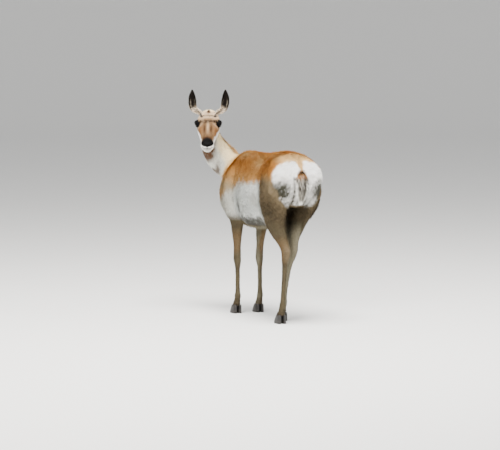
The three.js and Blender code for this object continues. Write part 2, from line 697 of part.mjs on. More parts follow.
// A solid with every point moved, and its edges split first so that it bends smoothly.
function bent(solid, move) {
  const fine = solid.refineToLength(BEND_STEP);
  const moved = fine.warp((point) => {
    const to = move(vec(...point));
    point.splice(0, 3, to.x, to.y, to.z);
  });
  return moved.simplify(BEND_SMOOTHING);
}

const model = new THREE.Group();
for (const { name, solid, material, move } of nodes) {
  const shape = geometryOf(move ? bent(solid.simplify(SMOOTHING), move) : solid.simplify(SMOOTHING));
  shape.computeVertexNormals();
  const mesh = new THREE.Mesh(shape, material);
  mesh.name = name;
  model.add(mesh);
}

const outline = new THREE.Box3().setFromObject(model);
const centre = outline.getCenter(new THREE.Vector3());
model.position.set(-centre.x, -centre.y, -outline.min.z);

export default model;
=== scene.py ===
"""A life-size pronghorn doe, standing, with her head turned back over her left side."""

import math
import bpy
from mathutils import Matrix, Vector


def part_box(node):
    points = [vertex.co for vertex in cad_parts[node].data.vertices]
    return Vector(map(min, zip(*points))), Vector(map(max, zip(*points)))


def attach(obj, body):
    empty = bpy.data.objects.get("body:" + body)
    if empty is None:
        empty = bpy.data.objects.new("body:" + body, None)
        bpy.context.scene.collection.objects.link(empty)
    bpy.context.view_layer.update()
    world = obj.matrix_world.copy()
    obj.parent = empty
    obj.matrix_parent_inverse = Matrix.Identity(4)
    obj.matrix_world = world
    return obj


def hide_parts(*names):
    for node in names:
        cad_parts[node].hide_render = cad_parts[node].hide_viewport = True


bl_info = {
    "name": "Pronghorn doe",
    "version": (1, 0, 0),
    "blender": (4, 5, 0),
    "location": "View3D > Sidebar > Pronghorn",
    "description": "Makes a standing pronghorn doe with a hair coat around its solids",
    "category": "Add Mesh",
}

import bmesh
import bpy
import numpy as np
from bpy.props import FloatProperty, FloatVectorProperty, PointerProperty
from mathutils import Vector

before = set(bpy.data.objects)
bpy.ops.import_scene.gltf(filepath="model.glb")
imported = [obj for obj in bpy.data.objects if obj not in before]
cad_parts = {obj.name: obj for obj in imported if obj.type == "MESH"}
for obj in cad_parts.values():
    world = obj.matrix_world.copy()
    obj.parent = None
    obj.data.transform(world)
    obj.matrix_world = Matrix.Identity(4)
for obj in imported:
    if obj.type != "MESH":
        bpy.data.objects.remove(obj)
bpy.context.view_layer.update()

# Lengths that can be changed: what each is, and its value in millimetres.
LENGTHS = {
    "skin_detail": ("Size of the skin's faces", 3.4),
    "trunk_hair": ("Hair of the back, the sides and the belly", 19.0),
    "neck_hair": ("Hair of the neck", 21.0),
    "rump_hair": ("Longest hair of the white rump", 27.0),
    "leg_hair": ("Shortest hair of the legs", 8.0),
    "face_hair": ("Shortest hair of the face", 4.5),
    "mane_hair": ("Longest hair of the mane", 38.0),
    "tail_hair": ("Longest hair of the tail", 32.0),
    "lash": ("Longest eyelash", 10.0),
    "horn_bud": ("Height of the horn buds over the skin", 19.0),
}

# Colours that can be changed: what each is, and its sRGB value.
COLOURS = {
    "back": ("Rufous of the back", "#AE7638"),
    "back_dark": ("Darker flecks and bands of the back", "#88582B"),
    "side": ("Upper sides, and the back of the neck", "#BA925A"),
    "ridge": ("Pale hair along the spine and the loin", "#CBAB74"),
    "white": ("White of the rump, the cheeks and the chest", "#F7F5F0"),
    "flank": ("White of the flank and the front of the neck", "#D3D6D2"),
    # painted shade: under the belly and behind the elbows the white hair is coloured as it looks in shadow
    "under": ("Shaded hair of the underside", "#2E2A22"),
    "shoulder": ("Greyed tan of the shoulder", "#ACA186"),
    "hip": ("Brown of the hip", "#75664E"),
    # painted shade in dark brown: the lower thigh, between the thighs and beside the tail
    "hip_dark": ("Dark brown of the thigh", "#302A1F"),
    # painted shade: the grey of the rump's lower part, which faces down away from the light
    "rump_low": ("Grey in the lower part of the rump", "#3F3E35"),
    "leg": ("Grey tan of the legs", "#544B39"),
    "leg_warm": ("Warmer tan below the hocks and knees", "#755B3D"),
    "leg_pale": ("Pale hair inside and behind the legs", "#7A7461"),
    "leg_dark": ("Dark mottling of the legs and the pasterns", "#41382C"),
    "neck": ("Pale tan of the neck", "#E8D4A8"),
    "neck_pale": ("Cream of the sides of the neck", "#EFE4C8"),
    "russet": ("Patches of the throat and hairs of the mane", "#58402F"),
    "face": ("Tan of the face", "#7B6043"),
    "warm": ("Warm brown beside the muzzle", "#80542F"),
    "crown": ("Paler crown, and around the eyes", "#BAA285"),
    # brow also paints the shade under the mouth
    "brow": ("Dark bar between the eyes, and the lips", "#2A211B"),
    "streak": ("Brown streaks from the eyes to the nose", "#3D2819"),
    # black also paints the shadow at the tail's root and the shade round the eyes
    "black": ("Nose, lids, mouth and lashes", "#040303"),
    "ear_cup": ("Inside of the ears", "#17120F"),
    "ear_cup_streak": ("Pale streak inside the ears", "#B9AE9C"),
    "ear_cup_root": ("Cream inside the ears' roots", "#D9C8B2"),
    "ear_cup_rim": ("Black rim inside the ears", "#0E0B0A"),
    "ear_back": ("Back of the ears", "#8A7860"),
    "ear_back_root": ("Cream behind the ears' roots", "#DCCDB8"),
    "ear_tip": ("Black of the ears' tips and rims", "#15110F"),
    "tail": ("Rufous of the tail's root", "#A9794A"),
    "tail_dark": ("Dark hairs down the tail's middle", "#2B2825"),
    "tail_pale": ("Pale hairs down the tail's middle", "#B4AEA2"),
    "tail_grey": ("Grey towards the tail's tip", "#8B877D"),
    "tail_white": ("White fringe and tip of the tail", "#F3EFE7"),
    # painted shadow: the black band across the tail's root
    "tail_black": ("Black band across the tail", "#0B0908"),
    "eye_dark": ("Dark of the eyes", "#0B0706"),
    "eye_brown": ("Brown fibres of the eyes", "#241610"),
    "horn_dark": ("Horn buds in their grooves", "#1C1510"),
    "horn_pale": ("Horn buds where they are rubbed", "#5A4A3A"),
    "hoof_dark": ("Hooves in their grooves", "#0D0B0A"),
    "hoof_pale": ("Hooves where they are dusty", "#2C2621"),
    "floor": ("Studio floor and wall", "#ECEBE8"),
}

# The straight, level body, in millimetres: she faces -Y, her left is +X and the floor is at zero.
# Rows: distance along, lowest, highest, half width, how high the widest point is, squareness.
TORSO = [
    (-422, 618, 684, 22, 0.5, 2.0),
    (-407, 572, 728, 60, 0.48, 2.0),
    (-366, 530, 760, 92, 0.46, 2.1),
    (-300, 502, 802, 108, 0.44, 2.1),
    (-240, 484, 846, 114, 0.43, 2.1),
    (-180, 471, 871, 118, 0.42, 2.1),
    (-110, 465, 872, 126, 0.42, 2.1),
    (-20, 472, 870, 138, 0.42, 2.1),
    (70, 488, 872, 142, 0.42, 2.1),
    (150, 516, 879, 139, 0.46, 2.1),
    (215, 548, 887, 136, 0.5, 2.1),
    (290, 580, 894, 138, 0.56, 2.1),
    (355, 596, 890, 143, 0.6, 2.1),
    (408, 612, 868, 140, 0.62, 2.1),
    (442, 636, 832, 120, 0.62, 2.1),
    (462, 672, 790, 80, 0.6, 2.0),
    (468, 712, 748, 26, 0.5, 2.0),
]
NECK = [
    (-0.4, -84, 84, 58, 0.5, 2.0),
    (-0.1, -114, 108, 80, 0.48, 2.0),
    (0.06, -117, 98, 79, 0.48, 2.0),
    (0.22, -110, 74, 72, 0.48, 2.0),
    (0.4, -97, 56, 61, 0.47, 2.0),
    (0.58, -80, 50, 53, 0.46, 2.0),
    (0.76, -72, 49, 48, 0.45, 2.0),
    (0.92, -68, 50, 47, 0.45, 2.0),
    (1.0, -64, 44, 45, 0.45, 2.0),
    (1.08, -46, 30, 34, 0.45, 2.0),
]
HEAD = [
    (-34, -48, 22, 26, 0.5, 2.0),
    (-16, -60, 38, 42, 0.5, 2.0),
    (8, -68, 46, 51, 0.55, 2.1),
    (38, -76, 51, 56, 0.62, 2.1),
    (72, -82, 52, 60, 0.68, 2.2),
    (104, -84, 48, 60, 0.72, 2.2),
    (132, -82, 40, 55, 0.66, 2.2),
    (160, -76, 31, 48, 0.6, 2.2),
    (190, -69, 22, 41, 0.55, 2.2),
    (220, -63, 14, 37, 0.5, 2.3),
    (245, -60, 7, 35.5, 0.48, 2.4),
    (265, -58, 1, 35, 0.48, 2.4),
    (281, -52, -4, 30, 0.5, 2.2),
    (291, -44, -12, 19, 0.5, 2.0),
    (295, -34, -22, 7, 0.5, 2.0),
]
# Legs go by height: front, back, inner and outer limits, squareness. The left ones are given.
FORELEG = [
    (822, -206, -146, 46, 70, 2.0),
    (785, -248, -132, 44, 98, 2.0),
    (720, -300, -120, 42, 118, 2.1),
    (650, -340, -114, 42, 128, 2.1),
    (590, -330, -110, 42, 128, 2.1),
    (540, -282, -108, 44, 119, 2.1),
    (502, -242, -110, 44, 107, 2.1),
    (462, -227, -130, 45, 99, 2.0),
    (412, -220, -151, 46, 92, 2.0),
    (362, -215, -164, 47, 86, 2.0),
    (326, -217, -170, 45, 85, 2.2),
    (300, -219, -172, 44, 85, 2.3),
    (274, -215, -173, 45, 83, 2.2),
    (245, -208, -176, 50, 79, 2.0),
    (195, -206, -178, 51, 78, 2.0),
    (148, -206, -178, 51, 78, 2.0),
    (118, -208, -176, 50, 79, 2.0),
    (98, -212, -172, 47, 82, 2.1),
    (78, -218, -177, 48, 81, 2.0),
    (62, -225, -183, 46, 83, 2.0),
    (45.3, -232, -186, 43, 86, 2.2),
]
HINDLEG = [
    (846, 286, 366, 42, 92, 2.0),
    (805, 238, 402, 38, 130, 2.1),
    (740, 206, 430, 30, 150, 2.2),
    (680, 190, 444, 24, 156, 2.2),
    (628, 181, 444, 22, 153, 2.2),
    (585, 179, 430, 24, 144, 2.1),
    (545, 196, 411, 27, 131, 2.0),
    (505, 226, 401, 29, 116, 2.0),
    (465, 263, 403, 30, 100, 2.0),
    (430, 301, 412, 31, 86, 2.0),
    (405, 336, 425, 31, 78, 2.1),
    (385, 356, 435, 30, 74, 2.2),
    (364, 363, 433, 30, 73, 2.2),
    (340, 367, 421, 31, 72, 2.1),
    (315, 369, 409, 33, 69, 2.0),
    (280, 369, 401, 36, 66, 2.0),
    (235, 366, 397, 38, 65, 2.0),
    (188, 362, 392, 38, 65, 2.0),
    (145, 358, 388, 38, 65, 2.0),
    (118, 354, 387, 37, 66, 2.0),
    (98, 349, 388, 34, 69, 2.1),
    (78, 342, 381, 35, 68, 2.0),
    (62, 335, 375, 33, 70, 2.0),
    (45.3, 326, 371, 30, 73, 2.2),
]
LEG_TABLES = {"fore": FORELEG, "hind": HINDLEG}
# How far each foot stands inward and back from its own straight leg, by leg and side.
STANCE = {("fore", 1): (0, 6), ("fore", -1): (0, 10), ("hind", 1): (-2, -24), ("hind", -1): (-40, -138)}
STANCE_TOP = {"fore": 560, "hind": 700}
HOCK_HEIGHT = 390
SIDES = {1: "left", -1: "right"}

# The neck's line, the planes where it leaves the body and meets the head, and how far it turns.
NECK_BASE = np.array([0.0, -318.0, 700.0])
NECK_LENGTH = 414.0
NECK_RISE = math.radians(69)
NECK_AXIS = np.array([0, -math.cos(NECK_RISE), math.sin(NECK_RISE)])
NECK_DORSAL = np.array([0, math.sin(NECK_RISE), math.cos(NECK_RISE)])
WITHERS_FRONT = np.array([0.0, -225.0, 864.0])
NECKWARD = np.array([0, -0.723, 0.69]) / math.hypot(0.723, 0.69)
TURN = math.radians(154)
DIP = math.radians(30)

HEAD_DROP = math.radians(25)
HEAD_AXIS = np.array([0, -math.cos(HEAD_DROP), -math.sin(HEAD_DROP)])
HEAD_UP = np.array([0, -math.sin(HEAD_DROP), math.cos(HEAD_DROP)])
HEAD_BASE = NECK_BASE + NECK_AXIS * NECK_LENGTH + HEAD_UP * 2
THROAT = HEAD_BASE + HEAD_AXIS * 52 - HEAD_UP * 70
HEADWARD = (HEAD_AXIS * 0.613 + HEAD_UP * 0.79) / math.hypot(0.613, 0.79)
LATERAL = np.array([1.0, 0, 0])

# Places on the head are along it, across and up.
EYE_RADIUS = 21.0
EYE_PLACE = (108, 51, 19)
NOSTRIL = (284, 13, -17)
HORN_PLACE = (88, 36, 48)
EAR_ROOT = (20, 42, 34)
TAIL_ROOT = np.array([0, 444.0, 792.0])
TAIL_LENGTH = 158.0
TAIL_SWAY = 10.0


# Shapes, in millimetres

def row_at(table, at):
    """A table's columns at some distances, on a smooth curve that never passes its own rows."""
    rows = np.array(table, float)
    if rows[0, 0] > rows[1, 0]:
        rows = rows[::-1]
    along, values = rows[:, 0], rows[:, 1:]
    at = np.asarray(at, float)
    k = np.clip(np.searchsorted(along, at, side="right") - 1, 0, len(along) - 2)
    spans = np.diff(along)
    steps = np.diff(values, axis=0) / spans[:, None]
    product = steps[:-1] * steps[1:]
    total = np.where(product > 0, steps[:-1] + steps[1:], 1)
    slopes = np.zeros_like(values)
    slopes[1:-1] = np.where(product > 0, 2 * product / total, 0)
    t = np.clip((at - along[k]) / spans[k], 0, 1)[:, None]
    curve = values[k] + (values[k + 1] - values[k]) * t * t * (3 - 2 * t)
    return curve + spans[k][:, None] * (t * (1 - t) ** 2 * slopes[k] + t * t * (t - 1) * slopes[k + 1])


def rounded(value, square):
    """A sine or a cosine, for an ellipse that is squared off."""
    return np.sign(value) * np.abs(value) ** (2 / square)


def body_section(row, angle):
    """Across and up, on the outline of a body row."""
    low, high, half, widest, square = row.T
    middle = low + (high - low) * widest
    rise = rounded(np.sin(angle), square)
    rise = rise * np.where(rise > 0, high - middle, middle - low)
    return half * rounded(np.cos(angle), square), middle + rise


def leg_section(row, angle):
    """Across and back, on the outline of a leg row."""
    front, back, inner, outer, square = row.T
    across = (inner + outer) / 2 + (outer - inner) / 2 * rounded(np.cos(angle), square)
    return across, (front + back) / 2 + (back - front) / 2 * rounded(np.sin(angle), square)


def scaled(amounts, way):
    """A way, times each of some amounts."""
    return np.multiply.outer(amounts, way)


def on_torso(along, across, up):
    """Points of the torso, from distances along it, across and up."""
    return np.stack([across, along, up], -1)


def on_neck(share, across, up):
    """Points of the neck, from shares of its length and distances across and up."""
    line = NECK_BASE + scaled(share * NECK_LENGTH, NECK_AXIS)
    return line + scaled(up, NECK_DORSAL) + scaled(across, LATERAL)


def on_head(along, across, up):
    """Points of the head, from distances along it, across and up."""
    return HEAD_BASE + scaled(along, HEAD_AXIS) + scaled(up, HEAD_UP) + scaled(across, LATERAL)


def head_place(points):
    """Along the head, across it and up from its line, for points of the straight body."""
    from_base = points - HEAD_BASE
    return from_base @ HEAD_AXIS, points[:, 0], from_base @ HEAD_UP


def headward(points):
    """How far points lie past the plane between the neck and the head."""
    return (points - THROAT) @ HEADWARD


def smoothstep(value, low, high):
    """From 0 at low to 1 at high, on a smooth curve."""
    t = np.clip((value - low) / (high - low), 0, 1)
    return t * t * (3 - 2 * t)


def smootherstep(value, low, high):
    """From 0 at low to 1 at high, on a curve without a change of bend at its ends."""
    t = np.clip((value - low) / (high - low), 0, 1)
    return t * t * t * (t * (t * 6 - 15) + 10)


def on_leg(kind, side):
    """The place function of a leg, which carries its foot to its stance."""
    inward, back = STANCE[kind, side]
    top = STANCE_TOP[kind]

    def place(height, across, along):
        lean = smootherstep(top - height, 0, top)
        pull = smoothstep(top - height, 0, top - HOCK_HEIGHT)
        return np.stack([side * (across + inward * pull), along + back * lean, height], -1)

    return place


def stations(table, spacing, scale=1.0):
    """Distances along a table, about one spacing apart in millimetres."""
    first, last = table[0][0], table[-1][0]
    count = max(2, int(abs(last - first) * scale / spacing))
    return np.linspace(first, last, count + 1)


def full_turn(sides):
    """Angles once round, evenly spaced."""
    return np.linspace(0, 2 * math.pi, sides, endpoint=False)


def closed_form(points, rows, sides):
    """Points in rows that each go round, closed at both ends: all points, and triangles."""
    rings = points.reshape(rows, sides, 3)
    points = np.vstack([points, rings[0].mean(0), rings[-1].mean(0)])
    here = np.arange(sides)
    ahead = np.roll(here, -1)
    last_row = (rows - 1) * sides
    faces = []
    for start in range(0, last_row, sides):
        faces.append(start + np.stack([here, ahead, ahead + sides], -1))
        faces.append(start + np.stack([here, ahead + sides, here + sides], -1))
    faces.append(np.stack([np.full(sides, len(points) - 2), ahead, here], -1))
    faces.append(np.stack([np.full(sides, len(points) - 1), here + last_row, ahead + last_row], -1))
    return points, np.vstack(faces)


def ring_quads(rows, sides):
    """Four-cornered faces between rows of points that each go round."""
    grid = np.arange(rows * sides).reshape(rows, sides)
    ahead = np.roll(grid, -1, 1)
    return np.stack([grid[:-1], ahead[:-1], ahead[1:], grid[1:]], -1).reshape(-1, 4)


def tube(table, section, place, at, sides, grow):
    """A closed loft through a table's rows, grown along each section's own outline."""
    angles = np.tile(full_turn(sides), len(at))
    along = np.repeat(at, sides)
    depth = grow(along) if callable(grow) else grow
    across, up = section(row_at(table, along), angles)
    points = place(along, across + depth * np.cos(angles), up + depth * np.sin(angles))
    return closed_form(points, len(at), sides)


def ellipsoid(place, centre, size, wide=32, high=20):
    """A closed ellipsoid. Its centre is along, across and up; its half sizes are across, along and up."""
    turn, fall = np.meshgrid(full_turn(wide), np.linspace(0.02, math.pi - 0.02, high))
    along = centre[0] + size[1] * np.sin(fall) * np.sin(turn)
    across = centre[1] + size[0] * np.sin(fall) * np.cos(turn)
    up = centre[2] + size[2] * np.cos(fall)
    return closed_form(place(along.ravel(), across.ravel(), up.ravel()), high, wide)


def joined(pieces):
    """Several forms as one: all points, and faces that count on."""
    points, faces, count = [], [], 0
    for some, their_faces in pieces:
        points.append(some)
        faces.append(their_faces + count)
        count += len(some)
    return np.vstack(points), np.vstack(faces)


# The turn of the neck and head

def neck_share(points):
    """How far along the neck points lie: 0 on the body and 1 on the head."""
    behind = (points - WITHERS_FRONT) @ NECKWARD
    before = -headward(points)
    share = np.where(before <= 0, 1.0, behind / np.maximum(behind + before, 1e-6))
    return np.where(behind <= 0, 0.0, np.clip(share, 0, 1))


def turns_at(t):
    """Rotation matrices: about the upright, after the dip of the lower neck."""
    turn = TURN * t
    dip = DIP * np.sin(math.pi * t ** 0.6) ** 2
    c, s, cd, sd = np.cos(turn), np.sin(turn), np.cos(dip), np.sin(dip)
    zero = np.zeros_like(c)
    return np.stack([
        np.stack([c, -s * cd, s * sd], -1),
        np.stack([s, c * cd, -c * sd], -1),
        np.stack([zero, sd, cd], -1),
    ], -2)


def on_neck_axis(point, normal):
    """Where the neck's line passes through a plane."""
    return NECK_BASE + NECK_AXIS * (((point - NECK_BASE) @ normal) / (NECK_AXIS @ normal))


# The neck's line once it is turned, as a row of points
LINE_START = on_neck_axis(WITHERS_FRONT, NECKWARD)
LINE_END = on_neck_axis(THROAT, HEADWARD)
LINE_STEPS = 240
LINE_SHARES = np.linspace(0, 1, LINE_STEPS + 1)
NECK_LINE = np.vstack([LINE_START, LINE_START + np.cumsum(
    turns_at((np.arange(LINE_STEPS) + 0.5) / LINE_STEPS) @ ((LINE_END - LINE_START) / LINE_STEPS), axis=0)])


def turned(points):
    """Points of the straight body, with the neck and head turned."""
    t = neck_share(points)
    moving = t > 0
    out = points.copy()
    share = t[moving]
    line = np.stack([np.interp(share, LINE_SHARES, NECK_LINE[:, i]) for i in range(3)], -1)
    rest = LINE_START + scaled(share, LINE_END - LINE_START)
    out[moving] = np.einsum("nij,nj->ni", turns_at(share), points[moving] - rest) + line
    return out


def eye_centre(side):
    """The middle of an eyeball, on the straight body."""
    along, across, up = EYE_PLACE
    return on_head(along, side * across, up)


def frame_shift():
    """The way from the straight body's origin to the frame's, from where the left eye is."""
    low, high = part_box("eye_left")
    centre = (np.array(low) + np.array(high)) / 2 * 1000
    return centre - turned(eye_centre(1)[None])[0]


SHIFT = frame_shift()


def to_frame(points):
    """Turned, in the frame, in metres."""
    return (turned(points) + SHIFT) / 1000


# Markings. Each takes points of the straight body, so skin and coat agree.

def ripple(points, size, seed):
    """Smooth noise about 0 from a few waves of about one size in millimetres."""
    random = np.random.default_rng(seed)
    waves = random.normal(size=(7, 3))
    waves *= (2 * math.pi / size) / np.linalg.norm(waves, axis=1, keepdims=True)
    waves *= random.uniform(0.7, 1.5, (7, 1))
    return np.sin(points @ waves.T + random.uniform(0, 6.28, 7)).sum(1) / 3.2


def mixed(base, colour, share):
    """A colour laid over others, or over one, by its share at each point."""
    return base + (np.asarray(colour) - base) * np.clip(share, 0, 1)[:, None]


def blob(points, centre, size):
    """1 at a centre, falling smoothly to 0 at about its size."""
    return np.exp(-(((points - centre) / size) ** 2).sum(1) * 1.2)


def mirrored(points):
    """Points of her right side brought over to her left."""
    return np.column_stack([np.abs(points[:, 0]), points[:, 1:]])


# Heights of the rump, and how far back its white begins at each.
RUMP_HEIGHTS = [600, 642, 668, 700, 732, 775, 810, 830, 845, 856, 880]
RUMP_BORDER = [408, 424, 438, 433, 418, 410, 411, 415, 420, 430, 480]
# Distances out from its middle, and how low its white comes at each.
RUMP_SIDES = [0, 34, 70, 95, 120, 140]
RUMP_BOTTOM = [598, 606, 620, 640, 684, 732]
# Distances along the body, and how high the flank's white reaches at each.
FLANK_PLACES = [-430, -330, -200, -60, 120, 240, 300]
FLANK_HEIGHTS = [540, 590, 655, 704, 730, 742, 700]


def white_rump(points, edge):
    """1 on the two white lobes of the rump, which a brown wedge parts at the top."""
    x, y, z = points.T
    border = np.interp(z, RUMP_HEIGHTS, RUMP_BORDER)
    white = smoothstep(y - border + edge * 0.5, -5, 6)
    bottom = np.interp(np.abs(x), RUMP_SIDES, RUMP_BOTTOM)
    white = white * smoothstep(z - bottom + edge * 0.6, -10, 10)
    half_wedge = 3 + 17 * np.clip((z - 790) / 58, 0, 1)
    wedge = smoothstep(half_wedge - np.abs(x + 4) + edge * 0.25, -3, 3)
    return white * (1 - wedge * smoothstep(z, 774, 796))


def markings(points, colours):
    """The colour of the coat at points of the straight body."""
    fine = ripple(points, 15, 4)
    edge = ripple(points, 46, 3) * 7 + fine * 3.5
    out = back_markings(points, fine, edge, colours)
    out = side_markings(out, points, fine, edge, colours)
    out = leg_markings(out, points, edge, colours)
    out = rump_markings(out, points, edge, colours)
    out = neck_markings(out, points, fine, edge, colours)
    return face_markings(out, points, edge, colours)


def back_markings(points, fine, edge, colours):
    """Flecked rufous, darker over the shoulder and croup, paler along the spine and down the sides."""
    y, z = points[:, 1], points[:, 2]
    flecks = smoothstep(ripple(points, 120, 5) * 0.6 + ripple(points, 26, 8) * 0.8, 0.0, 1.3)
    back = mixed(colours["back"], colours["back_dark"], flecks * 0.6)
    band = blob(mirrored(points), (98, -150, 822), (34, 130, 30))
    back = mixed(back, colours["back_dark"], band * 0.75)
    croup = blob(points, (30, 330, 886), (70, 44, 30))
    back = mixed(back, colours["back_dark"], croup * smoothstep(fine, -0.8, 0.8) * 0.7)
    top = row_at(TORSO, np.clip(y, TORSO[0][0], TORSO[-1][0]))[:, 1]
    ridge = smoothstep(z - top + fine * 3, -56, -16) * (0.5 + 0.5 * smoothstep(np.abs(y - 60), 110, 190))
    back = mixed(back, colours["ridge"], ridge * (1 - croup) * 0.85)
    loin = blob(mirrored(points), (100, 150, 838), (60, 90, 46))
    back = mixed(back, colours["ridge"], loin)
    return mixed(back, colours["side"], smoothstep(812 - z + edge, 0, 90) * 0.8)


def side_markings(out, points, fine, edge, colours):
    """The flank's white, painted shade under the belly and behind the elbow, the greyed shoulder, the pale
    chest, and the brown hip, deepened into painted shade on the lower thigh.
    """
    y, z = points[:, 1], points[:, 2]
    side = np.abs(points[:, 0])
    white = smoothstep(np.interp(y, FLANK_PLACES, FLANK_HEIGHTS) - z + edge * 1.6, -20, 26)
    out = mixed(out, colours["flank"], white)
    dull = smoothstep(ripple(points, 130, 16) + ripple(points, 40, 17) * 0.6 + fine * 0.3, -0.2, 1.6)
    out = mixed(out, colours["hip"], white * dull * 0.22)
    # painted shade under the belly, and a painted shadow in the fold behind the elbow
    below = smoothstep(562 - z + edge * 1.6, 0, 50) * smoothstep(120 - np.abs(y - 40), -60, 40)
    elbow = blob(mirrored(points), (124, -42, 582), (40, 20, 52))
    out = mixed(out, colours["under"], np.maximum(below * 0.9, elbow * 0.7))
    shoulder = smoothstep(-y + edge, 84, 160) * smoothstep(430 + y, -10, 60) * smoothstep(side, 50, 90)
    greyed = smoothstep(752 - z + edge, 0, 80) * (1 - 0.6 * smoothstep(690 - z + edge, 0, 60))
    out = mixed(out, colours["shoulder"], shoulder * greyed * 0.75)
    chest = smoothstep(-y + edge, 330, 380) * smoothstep(750 - z, 0, 50)
    out = mixed(out, colours["neck_pale"], chest * 0.8)
    out = mixed(out, colours["white"], chest * smoothstep(650 - z + edge, -10, 20))
    hip = smoothstep(y + edge, 250, 290)
    out = mixed(out, colours["hip"], hip * smoothstep(796 - z + edge, 0, 60))
    # painted shade: the lower, outer thigh darkened where shade falls
    thigh = hip * smoothstep(side + edge * 0.5, 20, 60) * blob(points, (0, 370, 570), (400, 150, 112))
    return mixed(out, colours["hip_dark"], thigh * (0.75 + 0.25 * ripple(points, 22, 12)))


def leg_markings(out, points, edge, colours):
    """Grey tan outside and in front, pale inside and behind, and painted shade between the thighs."""
    y, z = points[:, 1], points[:, 2]
    side = np.abs(points[:, 0])
    is_leg = smoothstep(560 - z, 0, 60) * np.where(np.abs(y - 20) > 100, 1, smoothstep(500 - z, 0, 20))
    leg = mixed(colours["leg"], colours["leg_dark"], smoothstep(ripple(points, 60, 9), 0.0, 1.1) * 0.45)
    leg = mixed(leg, colours["leg_warm"], smoothstep(420 - z, -60, 20) * smoothstep(z, 300, 360) * 0.5)
    out = mixed(out, leg, is_leg)
    inner = smoothstep(np.where(y < 0, 56, 42) - side + edge * 0.3, -6, 7)
    out = mixed(out, colours["leg_pale"], is_leg * inner * 0.9)
    heel = smoothstep(y - np.where(y < 0, -176, 396), -4, 8) * smoothstep(440 - z, 0, 60)
    out = mixed(out, colours["leg_pale"], is_leg * heel * np.where(y < 0, 0.1, 0.25))
    out = mixed(out, colours["leg_dark"], smoothstep(92 - z, 0, 40) * 0.6)
    # painted shade between the thighs
    between = smoothstep(64 - side, 0, 16) * smoothstep(y, 170, 220)
    between *= smoothstep(640 - z, 0, 40) * smoothstep(z, 450, 540)
    return mixed(out, colours["hip_dark"], between * 0.8)


def rump_markings(out, points, edge, colours):
    """White lobes, greyed below with painted shade, with painted shadow beside the tail and black painted
    shadow where the tail leaves them.
    """
    x, y, z = points.T
    # painted shade over the lower part of the lobes, where they turn down away from the light
    low = blob(np.stack([np.abs(x), z], -1), (104, 700), (50, 58)) * 1.7
    low = np.maximum(low, smoothstep(700 - z + edge * 1.5, 0, 60) * 0.7)
    lobes = mixed(colours["white"], colours["rump_low"], low * (0.85 + 0.35 * ripple(points, 22, 12)))
    # painted shadow in the gaps between the tail and the lobes
    shadow_beside_tail = np.exp(-((np.abs(x - 4) - 35) / 9) ** 2) * smoothstep(776 - z, 0, 20)
    lobes = mixed(lobes, colours["hip_dark"], shadow_beside_tail * (0.7 + 0.4 * ripple(points, 30, 15)))
    # painted shadow in black where the tail leaves the rump, on the lobes and on the coat around them
    lobes = mixed(lobes, colours["black"], blob(points, (0, 462, 782), (13, 30, 9)))
    out = mixed(out, lobes, white_rump(points, edge))
    return mixed(out, colours["black"], blob(points, (0, 462, 782), (12, 30, 8)) * smoothstep(y, 400, 440))


def neck_markings(out, points, fine, edge, colours):
    """Pale tan, whiter in front, with two russet patches there."""
    side = np.abs(points[:, 0])
    share = neck_share(points)
    up = (points - NECK_BASE) @ NECK_DORSAL
    front = smoothstep(-up + edge * 0.5, 6, 44)
    neck = mixed(colours["neck"], colours["side"], smoothstep(up, 34, 70) * 0.5)
    neck = mixed(neck, colours["neck_pale"], smoothstep(-up, -40, 30) * 0.7)
    bands = share + edge * 0.002
    neck = mixed(neck, colours["flank"], front * smoothstep(bands, 0.2, 0.36) * 0.85)
    throat = smoothstep(bands, 0.63, 0.71) * smoothstep(0.94 - bands, 0, 0.06)
    throat *= smoothstep(34 - side + edge * 0.7, -9, 9)
    neck = mixed(neck, colours["russet"], throat * smoothstep(-up, 10, 40) * (1 + 0.12 * fine))
    lower = smoothstep(bands, 0.43, 0.5) * smoothstep(0.6 - bands, 0, 0.06)
    lower *= smoothstep(44 - side + edge * 0.7, -10, 12)
    neck = mixed(neck, colours["russet"], lower * front * 0.8)
    return mixed(out, neck, smoothstep(share + edge * 0.003, 0.07, 0.2))


